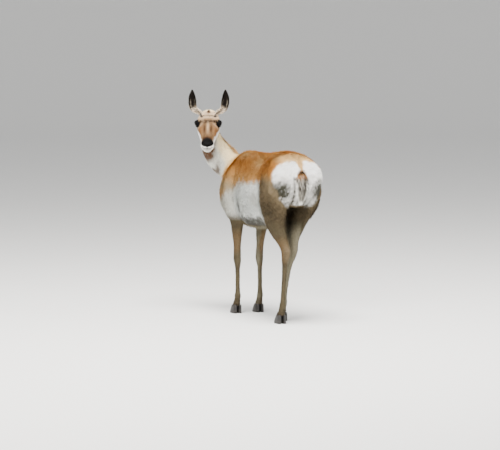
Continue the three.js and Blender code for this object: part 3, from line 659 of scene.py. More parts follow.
def face_markings(out, points, edge, colours):
    """The head: tan with a pale crown, brown streaks, white cheeks, black lids and a black nose."""
    along, across, up = head_place(points)
    side = np.abs(across)
    head = np.stack([along, side, up], -1)
    mottle = ripple(points, 9, 14)
    # the crown and brows are paler, and a dark bar runs between the eyes
    over_brow = smoothstep(up, 6, 20)
    crown = smoothstep(112 - along, 0, 26) * smoothstep(up, 4, 26)
    face = mixed(colours["face"], colours["crown"], crown * 0.85)
    level = up * math.cos(HEAD_DROP) - along * math.sin(HEAD_DROP)
    bar = np.exp(-((level + 17) / 8) ** 2) * smoothstep(56 - side, 0, 12) * over_brow * (1.0 + 0.7 * mottle)
    face = mixed(face, colours["brow"], bar)
    furrow = np.exp(-((level - 13 + side * 0.12) / 4.5) ** 2) * smoothstep(52 - side, 0, 12) * over_brow
    face = mixed(face, colours["brow"], furrow * (0.8 + 0.7 * mottle))
    face = mixed(face, colours["streak"], blob(head, (40, 0, 52), (18, 12, 14)))
    # brown streaks from the eyes to the nose, with a pale stripe between them
    face = mixed(face, colours["streak"], blob(head, (176, 17, 22), (56, 10, 24)))
    face = mixed(face, colours["warm"], blob(head, (156, 40, 4), (56, 16, 24)) * 0.75)
    face = mixed(face, colours["crown"], blob(head, (166, 0, 30), (40, 6, 20)) * 0.5)
    # white cheek and jaw
    cheek = smoothstep(-up - 16 + edge * 0.5 + np.clip(along - 190, 0, 60) * 0.1, -8, 9)
    face = mixed(face, colours["white"], cheek * smoothstep(along, 20, 60) * 0.95)
    # around the eye, pale with black lids, which run to a point at the front corner; the black ring is wider
    # than the lids and is partly painted shade round the eye
    for sign in SIDES:
        away = points - eye_centre(sign)
        from_eye = np.linalg.norm(away, axis=1)
        face = mixed(face, colours["crown"], smoothstep(42 - from_eye, 0, 8) * 0.4 * np.clip(1 - bar, 0, 1))
        long_way, short_way = almond_ways(away)
        reach = (long_way / np.where(long_way > 0, 28, 25)) ** 2
        reach += (short_way / (24 - 6 * smoothstep(long_way, 12, 28))) ** 2
        lids = smoothstep(1.02 - reach + edge * 0.006, 0, 0.16) * (from_eye < 40)
        face = mixed(face, colours["black"], lids)
    # the dark bridge of the muzzle, the black nose, and the dark line under it
    bridge = smoothstep(along + edge * 0.8 - side * 0.3, 196, 240) * smoothstep(up + 10 - side * 0.2, -6, 6)
    face = mixed(face, colours["streak"], bridge * 0.9)
    nose = smoothstep(along + edge * 0.3 - side * 0.25, 226, 252) * smoothstep(up + 23 - side * 0.1, -3, 2)
    philtrum = smoothstep(along, 270, 280) * np.exp(-(side / 2.6) ** 2) * smoothstep(up + 38, 0, 4)
    face = mixed(face, colours["black"], np.maximum(nose, philtrum))
    # dark lips along the mouth, and painted shade under the mouth at the chin
    lips = smoothstep(along, 262, 276) * np.exp(-((up + 39) / 4.0) ** 2) * smoothstep(24 - side, 0, 8)
    lips = np.maximum(lips, blob(head, (282, 0, -47), (14, 13, 7)) * 0.8)
    face = mixed(face, colours["brow"], lips * 0.6)
    face = mixed(face, colours["black"], mouth_line(points))
    # the neck's colour behind the ears, and russet under the jaw
    behind = smoothstep(34 - along + edge, 0, 40) * smoothstep(up, -40, 0)
    face = mixed(face, colours["neck"], behind * 0.85)
    under = smoothstep(110 - along, 0, 40) * smoothstep(-up, 70, 80) * smoothstep(26 - side, -4, 8)
    face = mixed(face, colours["russet"], under)
    on = smoothstep(headward(points) + edge * 0.5, -14, 14)
    return mixed(out, face, on * (neck_share(points) > 0.5))


def mouth_line(points):
    """1 on the line between the lips."""
    along, _, up = head_place(points)
    height = -38 + smoothstep(along, 214, 290) * 6
    near = np.exp(-((up - height) / 1.9) ** 2)
    return near * smoothstep(along, 206, 222)


# The skin's form over the plain lofts, as bumps along the normal: place, size, height.
BUMPS = [
    ((106, -215, 745), (42, 58, 84), 5.0),    # shoulder blade
    ((118, -225, 640), (40, 50, 50), 4.0),    # point of the shoulder's muscle
    ((126, -98, 590), (34, 20, 84), -6.0),    # fold behind the elbow
    ((132, 176, 735), (44, 52, 62), -8.0),    # hollow of the flank
    ((92, 214, 868), (28, 32, 24), 5.0),      # point of the hip
    ((140, 196, 618), (34, 32, 50), 5.0),     # stifle
    ((130, 165, 590), (40, 20, 50), -4.0),    # in front of the stifle
    ((146, 350, 600), (30, 22, 90), -3.5),    # between the thigh's muscles
    ((64, 440, 745), (44, 44, 84), 7.0),      # lobe of the rump
    ((0, 470, 700), (13, 46, 92), -12.0),     # cleft of the rump
    ((58, 330, 440), (60, 26, 40), -3.0),     # before the hock's tendon
    ((0, 300, 898), (16, 120, 30), 2.5),      # spine over the croup
    ((0, -60, 876), (14, 160, 24), 2.0),      # spine over the back
]


def body_form(points):
    """How far the skin stands off the plain lofts."""
    left = mirrored(points)
    rise = np.zeros(len(points))
    for centre, size, height in BUMPS:
        rise += height * blob(left, centre, size)
    # ribs show faintly, one to each 26 mm and leaning back
    ribs = np.sin((left[:, 1] + 0.35 * (left[:, 2] - 600)) / 26 * 2 * math.pi)
    rise += 0.9 * ribs * blob(left, (138, 20, 680), (60, 130, 90))
    return rise


# Meshes from arrays

def new_mesh(name, points, faces):
    """A mesh in metres. Faces all have the same number of corners."""
    mesh = bpy.data.meshes.new(name)
    corners = faces.shape[1]
    mesh.vertices.add(len(points))
    mesh.vertices.foreach_set("co", np.ascontiguousarray(points, np.float32).ravel())
    mesh.loops.add(faces.size)
    mesh.loops.foreach_set("vertex_index", np.ascontiguousarray(faces, np.int32).ravel())
    mesh.polygons.add(len(faces))
    mesh.polygons.foreach_set("loop_start", np.arange(0, faces.size, corners, dtype=np.int32))
    mesh.update(calc_edges=True)
    return mesh


def place_object(name, mesh, material, smooth=True):
    """An object for a mesh, with its material, riding on the root."""
    thing = bpy.data.objects.new(name, mesh)
    bpy.context.scene.collection.objects.link(thing)
    mesh.materials.clear()
    mesh.materials.append(material)
    mesh.polygons.foreach_set("use_smooth", np.full(len(mesh.polygons), smooth))
    mesh.update()
    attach(thing, "root")
    return thing


def paint(mesh, colours, name="Markings"):
    """Linear colours on a mesh's vertices."""
    layer = mesh.color_attributes.new(name, "FLOAT_COLOR", "POINT")
    rgba = np.ones((len(colours), 4), np.float32)
    rgba[:, :3] = colours
    layer.data.foreach_set("color", rgba.ravel())


def mesh_arrays(mesh):
    """A mesh's points and its triangles, as arrays."""
    points = np.empty(len(mesh.vertices) * 3, np.float32)
    mesh.vertices.foreach_get("co", points)
    mesh.calc_loop_triangles()
    tris = np.empty(len(mesh.loop_triangles) * 3, np.int32)
    mesh.loop_triangles.foreach_get("vertices", tris)
    return points.reshape(-1, 3).astype(float), tris.reshape(-1, 3)


def edges_of(mesh):
    """The two ends of each edge."""
    edges = np.empty(len(mesh.edges) * 2, np.int32)
    mesh.edges.foreach_get("vertices", edges)
    return edges.reshape(-1, 2)


def relaxed(points, edges, weights, rounds):
    """Points moved towards their neighbours' middle, each by its own weight."""
    n = len(points)
    count = np.bincount(edges.ravel(), minlength=n).astype(float)
    for _ in range(rounds):
        total = np.empty_like(points)
        for i in range(3):
            total[:, i] = np.bincount(edges[:, 0], points[edges[:, 1], i], n)
            total[:, i] += np.bincount(edges[:, 1], points[edges[:, 0], i], n)
        points = points + (total / count[:, None] - points) * weights[:, None]
    return points


def normals_of(points, tris):
    """The way out at each point, from the triangles around it."""
    a, b, c = points[tris[:, 0]], points[tris[:, 1]], points[tris[:, 2]]
    face = np.cross(b - a, c - a)
    out = np.zeros_like(points)
    for corner in range(3):
        for i in range(3):
            out[:, i] += np.bincount(tris[:, corner], face[:, i], len(points))
    return out / np.maximum(np.linalg.norm(out, axis=1, keepdims=True), 1e-12)


# Colours and materials

def linear(hex_colour):
    """An sRGB hex colour as linear red, green and blue."""
    values = [int(hex_colour[i:i + 2], 16) / 255 for i in (1, 3, 5)]
    return [v / 12.92 if v <= 0.04045 else ((v + 0.055) / 1.055) ** 2.4 for v in values]


def chosen_colours():
    """The settings' colours by name, as linear red, green and blue."""
    settings = bpy.context.scene.pronghorn_colours
    return {name: np.array(getattr(settings, name)) for name in COLOURS}


def chosen_lengths():
    """The settings' lengths by name, in millimetres."""
    settings = bpy.context.scene.pronghorn_lengths
    return {name: round(getattr(settings, name) * 1000, 3) for name in LENGTHS}


def add_node(tree, kind, links=None, **settings):
    """A node with its properties and inputs set. Links go from (node, output) to an input."""
    node = tree.nodes.new(kind)
    for key, value in settings.items():
        if key in node.inputs.keys():
            node.inputs[key].default_value = value
        else:
            setattr(node, key, value)
    for key, (source, output) in (links or {}).items():
        tree.links.new(source.outputs[output], node.inputs[key])
    return node


def new_material(name):
    """An empty material, its nodes and the place that its patterns go by."""
    material = bpy.data.materials.new(name)
    material.use_nodes = True
    tree = material.node_tree
    tree.nodes.clear()
    return material, tree, (add_node(tree, "ShaderNodeTexCoord"), "Object")


def set_ramp(ramp, dark, pale):
    """A ramp's two colours."""
    for element, colour in zip(ramp.color_ramp.elements, (dark, pale)):
        element.color = (*colour, 1)


def hair_material():
    """Animal hair: keratin fibre. It scatters softly and has next to no shine."""
    material, tree, place = new_material("Pronghorn hair")
    colour = add_node(tree, "ShaderNodeVertexColor", layer_name="Markings")
    # hairs clump at about 5 mm, and sun and dust change the coat over some 60 mm
    clumps = add_node(tree, "ShaderNodeTexNoise", {"Vector": place}, Scale=1000 / 5, Detail=2.0)
    patches = add_node(tree, "ShaderNodeTexNoise", {"Vector": place}, Scale=1000 / 62.5, Detail=3.0)
    light = add_node(tree, "ShaderNodeMapRange", {"Value": (clumps, "Fac")},
                     **{"To Min": 0.86, "To Max": 1.12})
    wear = add_node(tree, "ShaderNodeMapRange", {"Value": (patches, "Fac")},
                    **{"To Min": 0.9, "To Max": 1.08})
    both = add_node(tree, "ShaderNodeMath", {0: (light, "Result"), 1: (wear, "Result")}, operation="MULTIPLY")
    tint = add_node(tree, "ShaderNodeVectorMath", {0: (colour, "Color"), "Scale": (both, "Value")},
                    operation="SCALE")
    shader = add_node(tree, "ShaderNodeBsdfPrincipled", {"Base Color": (tint, "Vector")},
                      Roughness=0.72, IOR=1.55, **{"Specular IOR Level": 0.06})
    add_node(tree, "ShaderNodeOutputMaterial", {"Surface": (shader, "BSDF")})
    return material


def hide_material():
    """Short flat hair seen as a surface: the same keratin, its lie drawn by bump."""
    material, tree, place = new_material("Pronghorn hide")
    colour = add_node(tree, "ShaderNodeVertexColor", layer_name="Markings")
    # strands are far finer than this 2.4 mm, which is as coarse as they need to be to show
    strands = add_node(tree, "ShaderNodeTexNoise", {"Vector": place}, Scale=1000 / 2.381, Detail=3.0)
    patches = add_node(tree, "ShaderNodeTexNoise", {"Vector": place}, Scale=1000 / 55.56, Detail=3.0)
    light = add_node(tree, "ShaderNodeMapRange", {"Value": (patches, "Fac")},
                     **{"To Min": 0.78, "To Max": 1.0})
    tint = add_node(tree, "ShaderNodeVectorMath", {0: (colour, "Color"), "Scale": (light, "Result")},
                    operation="SCALE")
    bump = add_node(tree, "ShaderNodeBump", {"Height": (strands, "Fac")}, Strength=0.5, Distance=0.0012)
    shader = add_node(tree, "ShaderNodeBsdfPrincipled",
                      {"Base Color": (tint, "Vector"), "Normal": (bump, "Normal")},
                      Roughness=0.8, IOR=1.55, **{"Specular IOR Level": 0.08})
    add_node(tree, "ShaderNodeOutputMaterial", {"Surface": (shader, "BSDF")})
    return material


def eye_material(colours):
    """A wet cornea over a very dark iris: tear film, so almost a mirror at a grazing angle."""
    material, tree, place = new_material("Wet dark eye")
    # the iris shows as brown fibres, one to each 3.85 mm
    fibres = add_node(tree, "ShaderNodeTexNoise", {"Vector": place}, Scale=1000 / 3.846, Detail=2.0)
    ramp = add_node(tree, "ShaderNodeValToRGB", {"Fac": (fibres, "Fac")})
    set_ramp(ramp, colours["eye_dark"], colours["eye_brown"])
    shader = add_node(tree, "ShaderNodeBsdfPrincipled", {"Base Color": (ramp, "Color")},
                      Roughness=0.06, IOR=1.376)
    add_node(tree, "ShaderNodeOutputMaterial", {"Surface": (shader, "BSDF")})
    return material


def horn_material(name, dark, pale, step_mm, roughness):
    """Horn keratin, grown in rings and worn: satin where it is rubbed, dusty in the grooves."""
    material, tree, place = new_material(name)
    # growth rings: a wave turns by 20 radians in each unit, so one ring takes 6.3 of these steps
    rings = add_node(tree, "ShaderNodeTexWave", {"Vector": place},
                     bands_direction="Z", Scale=1000 / step_mm / 20, Distortion=2.5, Detail=2.0)
    dust = add_node(tree, "ShaderNodeTexNoise", {"Vector": place}, Scale=1000 / 14.29, Detail=4.0)
    blend = add_node(tree, "ShaderNodeMath", {0: (rings, "Fac"), 1: (dust, "Fac")}, operation="MULTIPLY")
    ramp = add_node(tree, "ShaderNodeValToRGB", {"Fac": (blend, "Value")})
    set_ramp(ramp, dark, pale)
    bump = add_node(tree, "ShaderNodeBump", {"Height": (rings, "Fac")}, Strength=0.35, Distance=0.0006)
    shader = add_node(tree, "ShaderNodeBsdfPrincipled",
                      {"Base Color": (ramp, "Color"), "Normal": (bump, "Normal")},
                      Roughness=roughness, IOR=1.56)
    add_node(tree, "ShaderNodeOutputMaterial", {"Surface": (shader, "BSDF")})
    return material


def floor_material(colour):
    """Matt white studio paint, rolled: a faint orange-peel and no shine."""
    material, tree, place = new_material("Matt studio paint")
    peel = add_node(tree, "ShaderNodeTexNoise", {"Vector": place}, Scale=1000 / 11.11, Detail=2.0)
    bump = add_node(tree, "ShaderNodeBump", {"Height": (peel, "Fac")}, Strength=0.05, Distance=0.001)
    shader = add_node(tree, "ShaderNodeBsdfPrincipled", {"Normal": (bump, "Normal")},
                      Roughness=0.9, **{"Base Color": (*colour, 1)})
    add_node(tree, "ShaderNodeOutputMaterial", {"Surface": (shader, "BSDF")})
    return material


# The skin

NECK_INSET = -6.0
HEAD_INSET = -2.2


def torso_inset(along):
    """How the skin lies inside the torso's solid, deeper under the long hair of the rump."""
    return -6.5 - 4.5 * smoothstep(along, 330, 420)


def leg_inset(height):
    """How the skin lies inside a leg's solid, deeper under the longer hair above."""
    return -2.2 - 3.8 * smoothstep(height, 420, 560)


# Swellings of the head. Centre along, across and up, and half sizes across, along and up.
PAIRED_SWELLINGS = [
    ((104, 37, 32), (21, 28, 17)),      # brow
    ((64, 35, -40), (21, 39, 25)),      # muscle of the jaw
    ((262, 22, -34), (13, 22, 12.5)),   # lip
    ((108, 51, 19), (19, 22, 20)),      # eye socket
]
MIDDLE_SWELLINGS = [
    ((280, 0, -15), (23, 14, 12.5)),    # nose
    ((262, 0, -54), (22, 23, 9.5)),     # chin
]


def skin_volumes():
    """The flesh as closed lofts and swellings that pass through each other."""
    pieces = [
        tube(TORSO, body_section, on_torso, stations(TORSO, 7), 96, torso_inset),
        tube(NECK, body_section, on_neck, stations(NECK, 7, NECK_LENGTH), 80, NECK_INSET),
        tube(HEAD, body_section, on_head, stations(HEAD, 4), 72, HEAD_INSET),
    ]
    for kind, table in LEG_TABLES.items():
        for side in SIDES:
            pieces.append(tube(table, leg_section, on_leg(kind, side), stations(table, 6), 48, leg_inset))
    for side in SIDES:
        for (along, across, up), size in PAIRED_SWELLINGS:
            pieces.append(ellipsoid(on_head, (along, side * across, up), size))
    pieces += [ellipsoid(on_head, centre, size) for centre, size in MIDDLE_SWELLINGS]
    return joined(pieces)


def remeshed(points, faces, voxel):
    """One closed skin around all the volumes."""
    mesh = new_mesh("volumes", points / 1000, faces)
    thing = bpy.data.objects.new("volumes", mesh)
    bpy.context.scene.collection.objects.link(thing)
    modifier = thing.modifiers.new("Remesh", "REMESH")
    modifier.mode = "VOXEL"
    modifier.voxel_size = voxel / 1000
    view = bpy.context.evaluated_depsgraph_get()
    result = bpy.data.meshes.new_from_object(thing.evaluated_get(view))
    bpy.data.objects.remove(thing)
    bpy.data.meshes.remove(mesh)
    return result


def refine_head(mesh):
    """Faces of the head are split once, so that lids, lips and nostrils have room."""
    work = bmesh.new()
    work.from_mesh(mesh)
    plane_point, plane_normal = Vector(THROAT / 1000), Vector(HEADWARD)
    edges = [e for e in work.edges
             if all((v.co - plane_point).dot(plane_normal) > 0.012 for v in e.verts)]
    bmesh.ops.subdivide_edges(work, edges=edges, cuts=1, use_grid_fill=True)
    bmesh.ops.triangulate(work, faces=work.faces[:])
    work.to_mesh(mesh)
    work.free()


ALMOND_TILT = 0.2


def almond_ways(away):
    """Along and across the eye's almond, whose corners point forwards and down, and back and up."""
    along, up = away @ HEAD_AXIS, away @ HEAD_UP
    c, s = math.cos(ALMOND_TILT), math.sin(ALMOND_TILT)
    return along * c - up * s, along * s + up * c


def shape_lids(points):
    """Lids lie on the eyeball, open in an almond that looks outwards."""
    for side in SIDES:
        centre = eye_centre(side)
        away = points - centre
        distance = np.linalg.norm(away, axis=1)
        unit = away / np.maximum(distance, 1e-6)[:, None]
        long_way, short_way = almond_ways(unit)
        opening = (long_way / 0.85) ** 2 + (short_way / 0.6) ** 2
        facing = (distance < EYE_RADIUS + 9) & (unit[:, 0] * side > 0.05)
        lid = EYE_RADIUS + 1.2 + 1.6 * np.exp(-((opening - 1.08) / 0.12) ** 2)
        wanted = np.where(facing & (opening >= 1), np.maximum(distance, lid), distance)
        wanted = np.where(facing & (opening < 1), EYE_RADIUS - 3.5, wanted)
        points = centre + unit * wanted[:, None]
    return points


def head_details(points, normals):
    """Nostrils, the line of the mouth, and folds over the eye and at the mouth's corner."""
    along, across, up = head_place(points)
    side = np.abs(across)
    place = np.stack([along, side, up], -1)
    across_nostril = (along - NOSTRIL[0]) * 0.5 + (up - NOSTRIL[2]) * 0.87
    slit = np.exp(-(across_nostril / 2.6) ** 2 - ((side - NOSTRIL[1]) / 6.5) ** 2)
    slit *= smoothstep(along, 268, 276)
    rise = -6.5 * slit + 1.6 * blob(place, (281, 15, -9), (10, 9, 6))
    rise -= 2.2 * mouth_line(points)
    rise -= 1.6 * np.exp(-(side / 1.8) ** 2) * smoothstep(along, 278, 288) * smoothstep(-up, 14, 22)
    rise += 1.5 * blob(place, (224, 36, -40), (10, 12, 8))
    for offset in (30, 36):
        for sign in SIDES:
            from_eye = np.linalg.norm(points - eye_centre(sign), axis=1)
            rise += 0.9 * np.exp(-((from_eye - offset) / 1.8) ** 2) * smoothstep(up, 20, 34)
    # the long hollow of the face under the eye, and the cheek's edge
    rise -= 2.6 * blob(place, (150, 46, -12), (34, 14, 12))
    rise += 1.4 * blob(place, (96, 60, -18), (44, 14, 7))
    return points + normals * (rise * smoothstep(along, -20, 10))[:, None]


class Skin:
    """The finished skin, straight and in its pose, for the coat to grow on. In millimetres."""
    straight = None
    posed = None
    tris = None
    normals = None


# Skin shows between the hairs as a darker shade of them.
SKIN_SHADE = 0.82
LEAF_SHADE = 0.8


def make_skin(material, voxel):
    """One skin over the body, smoothed, formed, turned into its pose and painted."""
    mesh = remeshed(*skin_volumes(), voxel)
    points, tris = mesh_arrays(mesh)
    points *= 1000
    in_head = smoothstep(headward(points), -10, 40) * (neck_share(points) > 0.5)
    weights = 0.12 + 0.38 * smoothstep(points[:, 2], 430, 560)
    points = relaxed(points, edges_of(mesh), weights * (1 - in_head) + 0.1 * in_head, 46)
    points = points + normals_of(points, tris) * body_form(points)[:, None]
    mesh.vertices.foreach_set("co", (points / 1000).astype(np.float32).ravel())
    mesh.update()
    refine_head(mesh)
    points, tris = mesh_arrays(mesh)
    edges = edges_of(mesh)
    points *= 1000
    share = neck_share(points)
    head = smoothstep(headward(points), 0, 30) * (share > 0.5)
    points = relaxed(points, edges, 0.35 * head, 3)
    points = shape_lids(points)
    points = relaxed(points, edges, 0.16 * head, 2)
    points = head_details(points, normals_of(points, tris))
    # the turn creases the base of the neck and the poll, so both are smoothed in the pose
    posed = turned(points)
    share = neck_share(points)
    base = smoothstep(share + 0.16 * (points[:, 2] < 790), 0.0, 0.1) * smoothstep(0.46 - share, 0, 0.24)
    near_base = base * smoothstep((points - WITHERS_FRONT) @ NECKWARD, -60, 0)
    posed = relaxed(posed, edges, 0.6 * near_base, 380)
    poll = blob(points, on_head(-8, 0, 34), (70, 42, 42))
    posed = relaxed(posed, edges, 0.5 * poll, 60)
    Skin.straight, Skin.posed, Skin.tris = points, posed, tris
    Skin.normals = normals_of(posed, tris)
    mesh.vertices.foreach_set("co", ((posed + SHIFT) / 1000).astype(np.float32).ravel())
    mesh.update()
    paint(mesh, markings(points, chosen_colours()) * SKIN_SHADE)
    mesh.name = "skin"
    skin = place_object("skin", mesh, material)
    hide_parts("torso", "neck", "head", "foreleg_left", "foreleg_right",
                "hindleg_left", "hindleg_right")


# Tufts of hair

# A blade's five corners go root, root, middle, middle, tip. Its root is darker and its tip paler.
BLADE_SHADES = np.array([0.78, 0.78, 1.0, 1.0, 1.12])
BAKE_CORNERS = np.array([[-1, -1], [1, -1], [-1, 0.4], [1, 0.4], [0, 1]]) * 0.0015


def tufts(name, roots, normals, lies, lengths, widths, lifts, colours, uv, material, seed):
    """Blades of hair as one mesh: three triangles each, from a wide root to a point.

    Roots, normals and lies are in the animal's pose, in millimetres.
    """
    random = np.random.default_rng(seed)
    n = len(roots)
    lies = lies - normals * (lies * normals).sum(1, keepdims=True)
    lies = lies + random.normal(0, 0.16, (n, 3))
    lies /= np.maximum(np.linalg.norm(lies, axis=1, keepdims=True), 1e-9)
    across = np.cross(normals, lies)
    across /= np.maximum(np.linalg.norm(across, axis=1, keepdims=True), 1e-9)
    roll = random.normal(0, 0.35, n)[:, None]
    across = across * np.cos(roll) + normals * np.sin(roll)
    length, width, lift = lengths[:, None], widths[:, None], lifts[:, None]
    start = roots - normals * 0.6
    middle = roots + lies * length * 0.5 + normals * length * lift * 0.75
    tip = roots + lies * length + normals * length * lift
    points = np.stack([
        start - across * width * 0.5,
        start + across * width * 0.5,
        middle - across * width * 0.42,
        middle + across * width * 0.42,
        tip,
    ], 1).reshape(-1, 3)
    first = np.arange(n)[:, None] * 5
    faces = np.stack([first + [0, 1, 3], first + [0, 3, 2], first + [2, 3, 4]], 1).reshape(-1, 3)
    mesh = new_mesh(name, (points + SHIFT) / 1000, faces)
    shades = random.normal(1.0, 0.085, (n, 1, 1)) * BLADE_SHADES[None, :, None]
    paint(mesh, np.clip(colours[:, None, :] * shades, 0, 0.92).reshape(-1, 3))
    layer = mesh.uv_layers.new(name="OFBake")
    patch = (uv[:, None, :] + BAKE_CORNERS).reshape(-1, 2)
    layer.data.foreach_set("uv", patch[faces.ravel()].astype(np.float32).ravel())
    piece = place_object(name, mesh, material, smooth=False)
    return piece


def posed_ways(points, ways):
    """Directions at points of the straight body, carried into the pose."""
    return (turned(points + ways * 2) - turned(points - ways * 2)) / 4


def posed_tufts(name, roots, normals, lies, *rest):
    """Tufts whose roots, normals and lies are given on the straight body."""
    return tufts(name, turned(roots), posed_ways(roots, normals), posed_ways(roots, lies), *rest)


def sampled(keep, count, seed):
    """Random roots on the skin's faces that keep says, weighted by area.

    Their straight and posed places, and their posed normals.
    """
    if Skin.posed is None:
        raise RuntimeError("The coat grows on the skin, so the skin has to be made first")
    random = np.random.default_rng(seed)
    points, tris, normals = Skin.posed, Skin.tris, Skin.normals
    a, b, c = points[tris[:, 0]], points[tris[:, 1]], points[tris[:, 2]]
    area = np.linalg.norm(np.cross(b - a, c - a), axis=1) / 2 * keep(Skin.straight[tris].mean(1))
    chosen = random.choice(len(tris), count, p=area / area.sum())
    u, v = random.uniform(size=(2, count))
    flip = u + v > 1
    u[flip], v[flip] = 1 - u[flip], 1 - v[flip]
    shares = np.stack([1 - u - v, u, v], -1)[:, :, None]
    corner = tris[chosen]
    normal = (normals[corner] * shares).sum(1)
    normal /= np.linalg.norm(normal, axis=1, keepdims=True)
    return (Skin.straight[corner] * shares).sum(1), (points[corner] * shares).sum(1), normal


# The regions of the coat, for points of the straight body

def is_head(p):
    return (headward(p) > 0) & (neck_share(p) > 0.5)


def is_neck(p):
    return (neck_share(p) > 0) & ~is_head(p)


def is_fore(p):
    return (p[:, 1] < -40) & (p[:, 2] < 520) & ~is_neck(p) & ~is_head(p)


def is_hind(p):
    return (p[:, 1] > 120) & (p[:, 2] < 560)


def is_rump(p):
    reach = np.sqrt((p[:, 0] / 160) ** 2 + ((470 - p[:, 1]) / 148) ** 2 + ((p[:, 2] - 735) / 132) ** 2)
    return (reach < 1.02) & (p[:, 1] > 310) & ~is_hind(p)


def is_trunk(p):
    return ~is_head(p) & ~is_neck(p) & ~is_fore(p) & ~is_hind(p) & ~is_rump(p)


def hairy(p):
    """0 on the eyes and the nose, where no hair grows."""
    clear = np.ones(len(p))
    for side in SIDES:
        clear *= np.linalg.norm(p - eye_centre(side), axis=1) > EYE_RADIUS + 4.5
    along, across, up = head_place(p)
    clear *= ~((along > 272) & (up > -36) & (np.abs(across) < 26))
    return clear


def lie_of(points):
    """The way the coat lies: back along the body, down the neck and legs, back over the face."""
    x, _, z = points.T
    lie = np.tile([0.0, 1.0, -0.25], (len(points), 1))
    lie[:, 2] -= 0.35 * smoothstep(800 - z, 0, 200)
    low = smoothstep(620 - z, 0, 110)[:, None]
    lie = lie * (1 - low) + np.array([0, 0.12, -1.0]) * low
    from_crest = points - np.array([0, 400, 850])
    from_crest[:, 0] *= 1.25
    from_crest /= np.linalg.norm(from_crest, axis=1, keepdims=True)
    lie = np.where(is_rump(points)[:, None], from_crest + np.array([0, 0, -0.45]), lie)
    in_neck = smoothstep(neck_share(points), 0, 0.08)[:, None]
    lie = lie * (1 - in_neck) + (-NECK_AXIS - NECK_DORSAL * 0.15) * in_neck
    along, _, up = head_place(points)
    back = -HEAD_AXIS + scaled(np.where(up > 0, 0.15, -0.35), HEAD_UP)
    back = back + scaled(np.sign(x) * 0.25 * smoothstep(along, 120, 60), LATERAL)
    lie = np.where(is_head(points)[:, None], back, lie)
    return lie / np.linalg.norm(lie, axis=1, keepdims=True)


# How each region's roots are spread over the square that its colours are baked to

def around(across, up):
    """An angle about a part's line, as a share of one turn."""
    return np.arctan2(across, up) / (2 * math.pi) + 0.5


def trunk_unwrap(p):
    return np.stack([(p[:, 1] + 440) / 920, np.abs(np.arctan2(p[:, 0], p[:, 2] - 680)) / math.pi], -1)


def leg_unwrap(middle):
    def unwrap(p):
        turn = around(np.abs(p[:, 0]) - 55, p[:, 1] - middle)
        return np.stack([np.where(p[:, 0] > 0, 0.0, 0.5) + turn * 0.49, p[:, 2] / 620], -1)
    return unwrap


def neck_unwrap(p):
    return np.stack([around(p[:, 0], (p - NECK_BASE) @ NECK_DORSAL), neck_share(p)], -1)


def head_unwrap(p):
    along, across, up = head_place(p)
    return np.stack([around(across, up + 15), (along + 40) / 340], -1)


def rump_unwrap(p):
    return np.stack([np.arctan2(p[:, 0], p[:, 1] - 300) / math.pi + 0.5, (p[:, 2] - 560) / 330], -1)


def coat_piece(name, keep, count, length, width, lift, unwrap, material, seed):
    """One region's tufts, which take the markings' colour near their middle."""
    roots, posed, normals = sampled(lambda p: keep(p) * hairy(p), count, seed)
    random = np.random.default_rng(seed + 1)
    lengths = length(roots) * random.uniform(0.78, 1.22, count)
    widths = width * random.uniform(0.75, 1.25, count)
    lifts = np.clip(lift * random.uniform(0.6, 1.5, count), 0.02, 0.6)
    uv = np.clip(unwrap(roots), 0, 1) * 0.98 + 0.01
    straight_lies = lie_of(roots)
    colours = markings(roots + straight_lies * lengths[:, None] * 0.45, chosen_colours())
    lies = posed_ways(roots, straight_lies)
    tufts(name, posed, normals, lies, lengths, widths, lifts, colours, uv, material, seed + 2)


def make_coat(material, lengths, density):
    """The whole coat, each region its own piece."""
    def face(p):
        return lengths["face_hair"] + 5.5 * smoothstep(head_place(p)[0], 220, 60)

    def rump(p):
        low = smoothstep(720 - p[:, 2], 0, 70)
        near_tail = smoothstep(60 - np.abs(p[:, 0]), 0, 16) * smoothstep(800 - p[:, 2], 0, 30)
        return lengths["rump_hair"] - 13 * np.maximum(low, near_tail)

    def even(name):
        return lambda p: np.full(len(p), lengths[name])

    def leg(more, low, high):
        return lambda p: lengths["leg_hair"] + more * smoothstep(p[:, 2], low, high)

    trunk = even("trunk_hair")
    # name, region, full count, length, width, lift, unwrap
    regions = [
        ("coat_left", lambda p: is_trunk(p) & (p[:, 0] >= 0), 58000, trunk, 2.7, 0.16, trunk_unwrap),
        ("coat_right", lambda p: is_trunk(p) & (p[:, 0] < 0), 58000, trunk, 2.7, 0.16, trunk_unwrap),
        ("coat_rump", is_rump, 44000, rump, 3.0, 0.13, rump_unwrap),
        ("coat_neck", is_neck, 56000, even("neck_hair"), 2.6, 0.17, neck_unwrap),
        ("coat_head", is_head, 60000, face, 1.35, 0.13, head_unwrap),
        ("coat_forelegs", is_fore, 36000, leg(6, 380, 520), 1.7, 0.1, leg_unwrap(-190)),
        ("coat_hindlegs", is_hind, 44000, leg(7, 400, 560), 1.8, 0.1, leg_unwrap(380)),
    ]
    for i, (name, keep, count, length, width, lift, unwrap) in enumerate(regions):
        coat_piece(name, keep, int(count * density), length, width, lift, unwrap, material, 11 + 10 * i)


# Eyes, ears, horns, hooves and tail

def make_eyes(material, lash_material, colours, lash):
    """Round eyeballs, and their lashes."""
    along, across, up = EYE_PLACE
    for side, name in SIDES.items():
        points, faces = ellipsoid(on_head, (along, side * across, up), (EYE_RADIUS,) * 3, 64, 40)
        eye = place_object("eyeball_" + name, new_mesh("eyeball_" + name, to_frame(points), faces), material)
        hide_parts("eye_" + name)
        make_lashes(side, name, lash_material, colours["black"], lash)


LASHES = 90


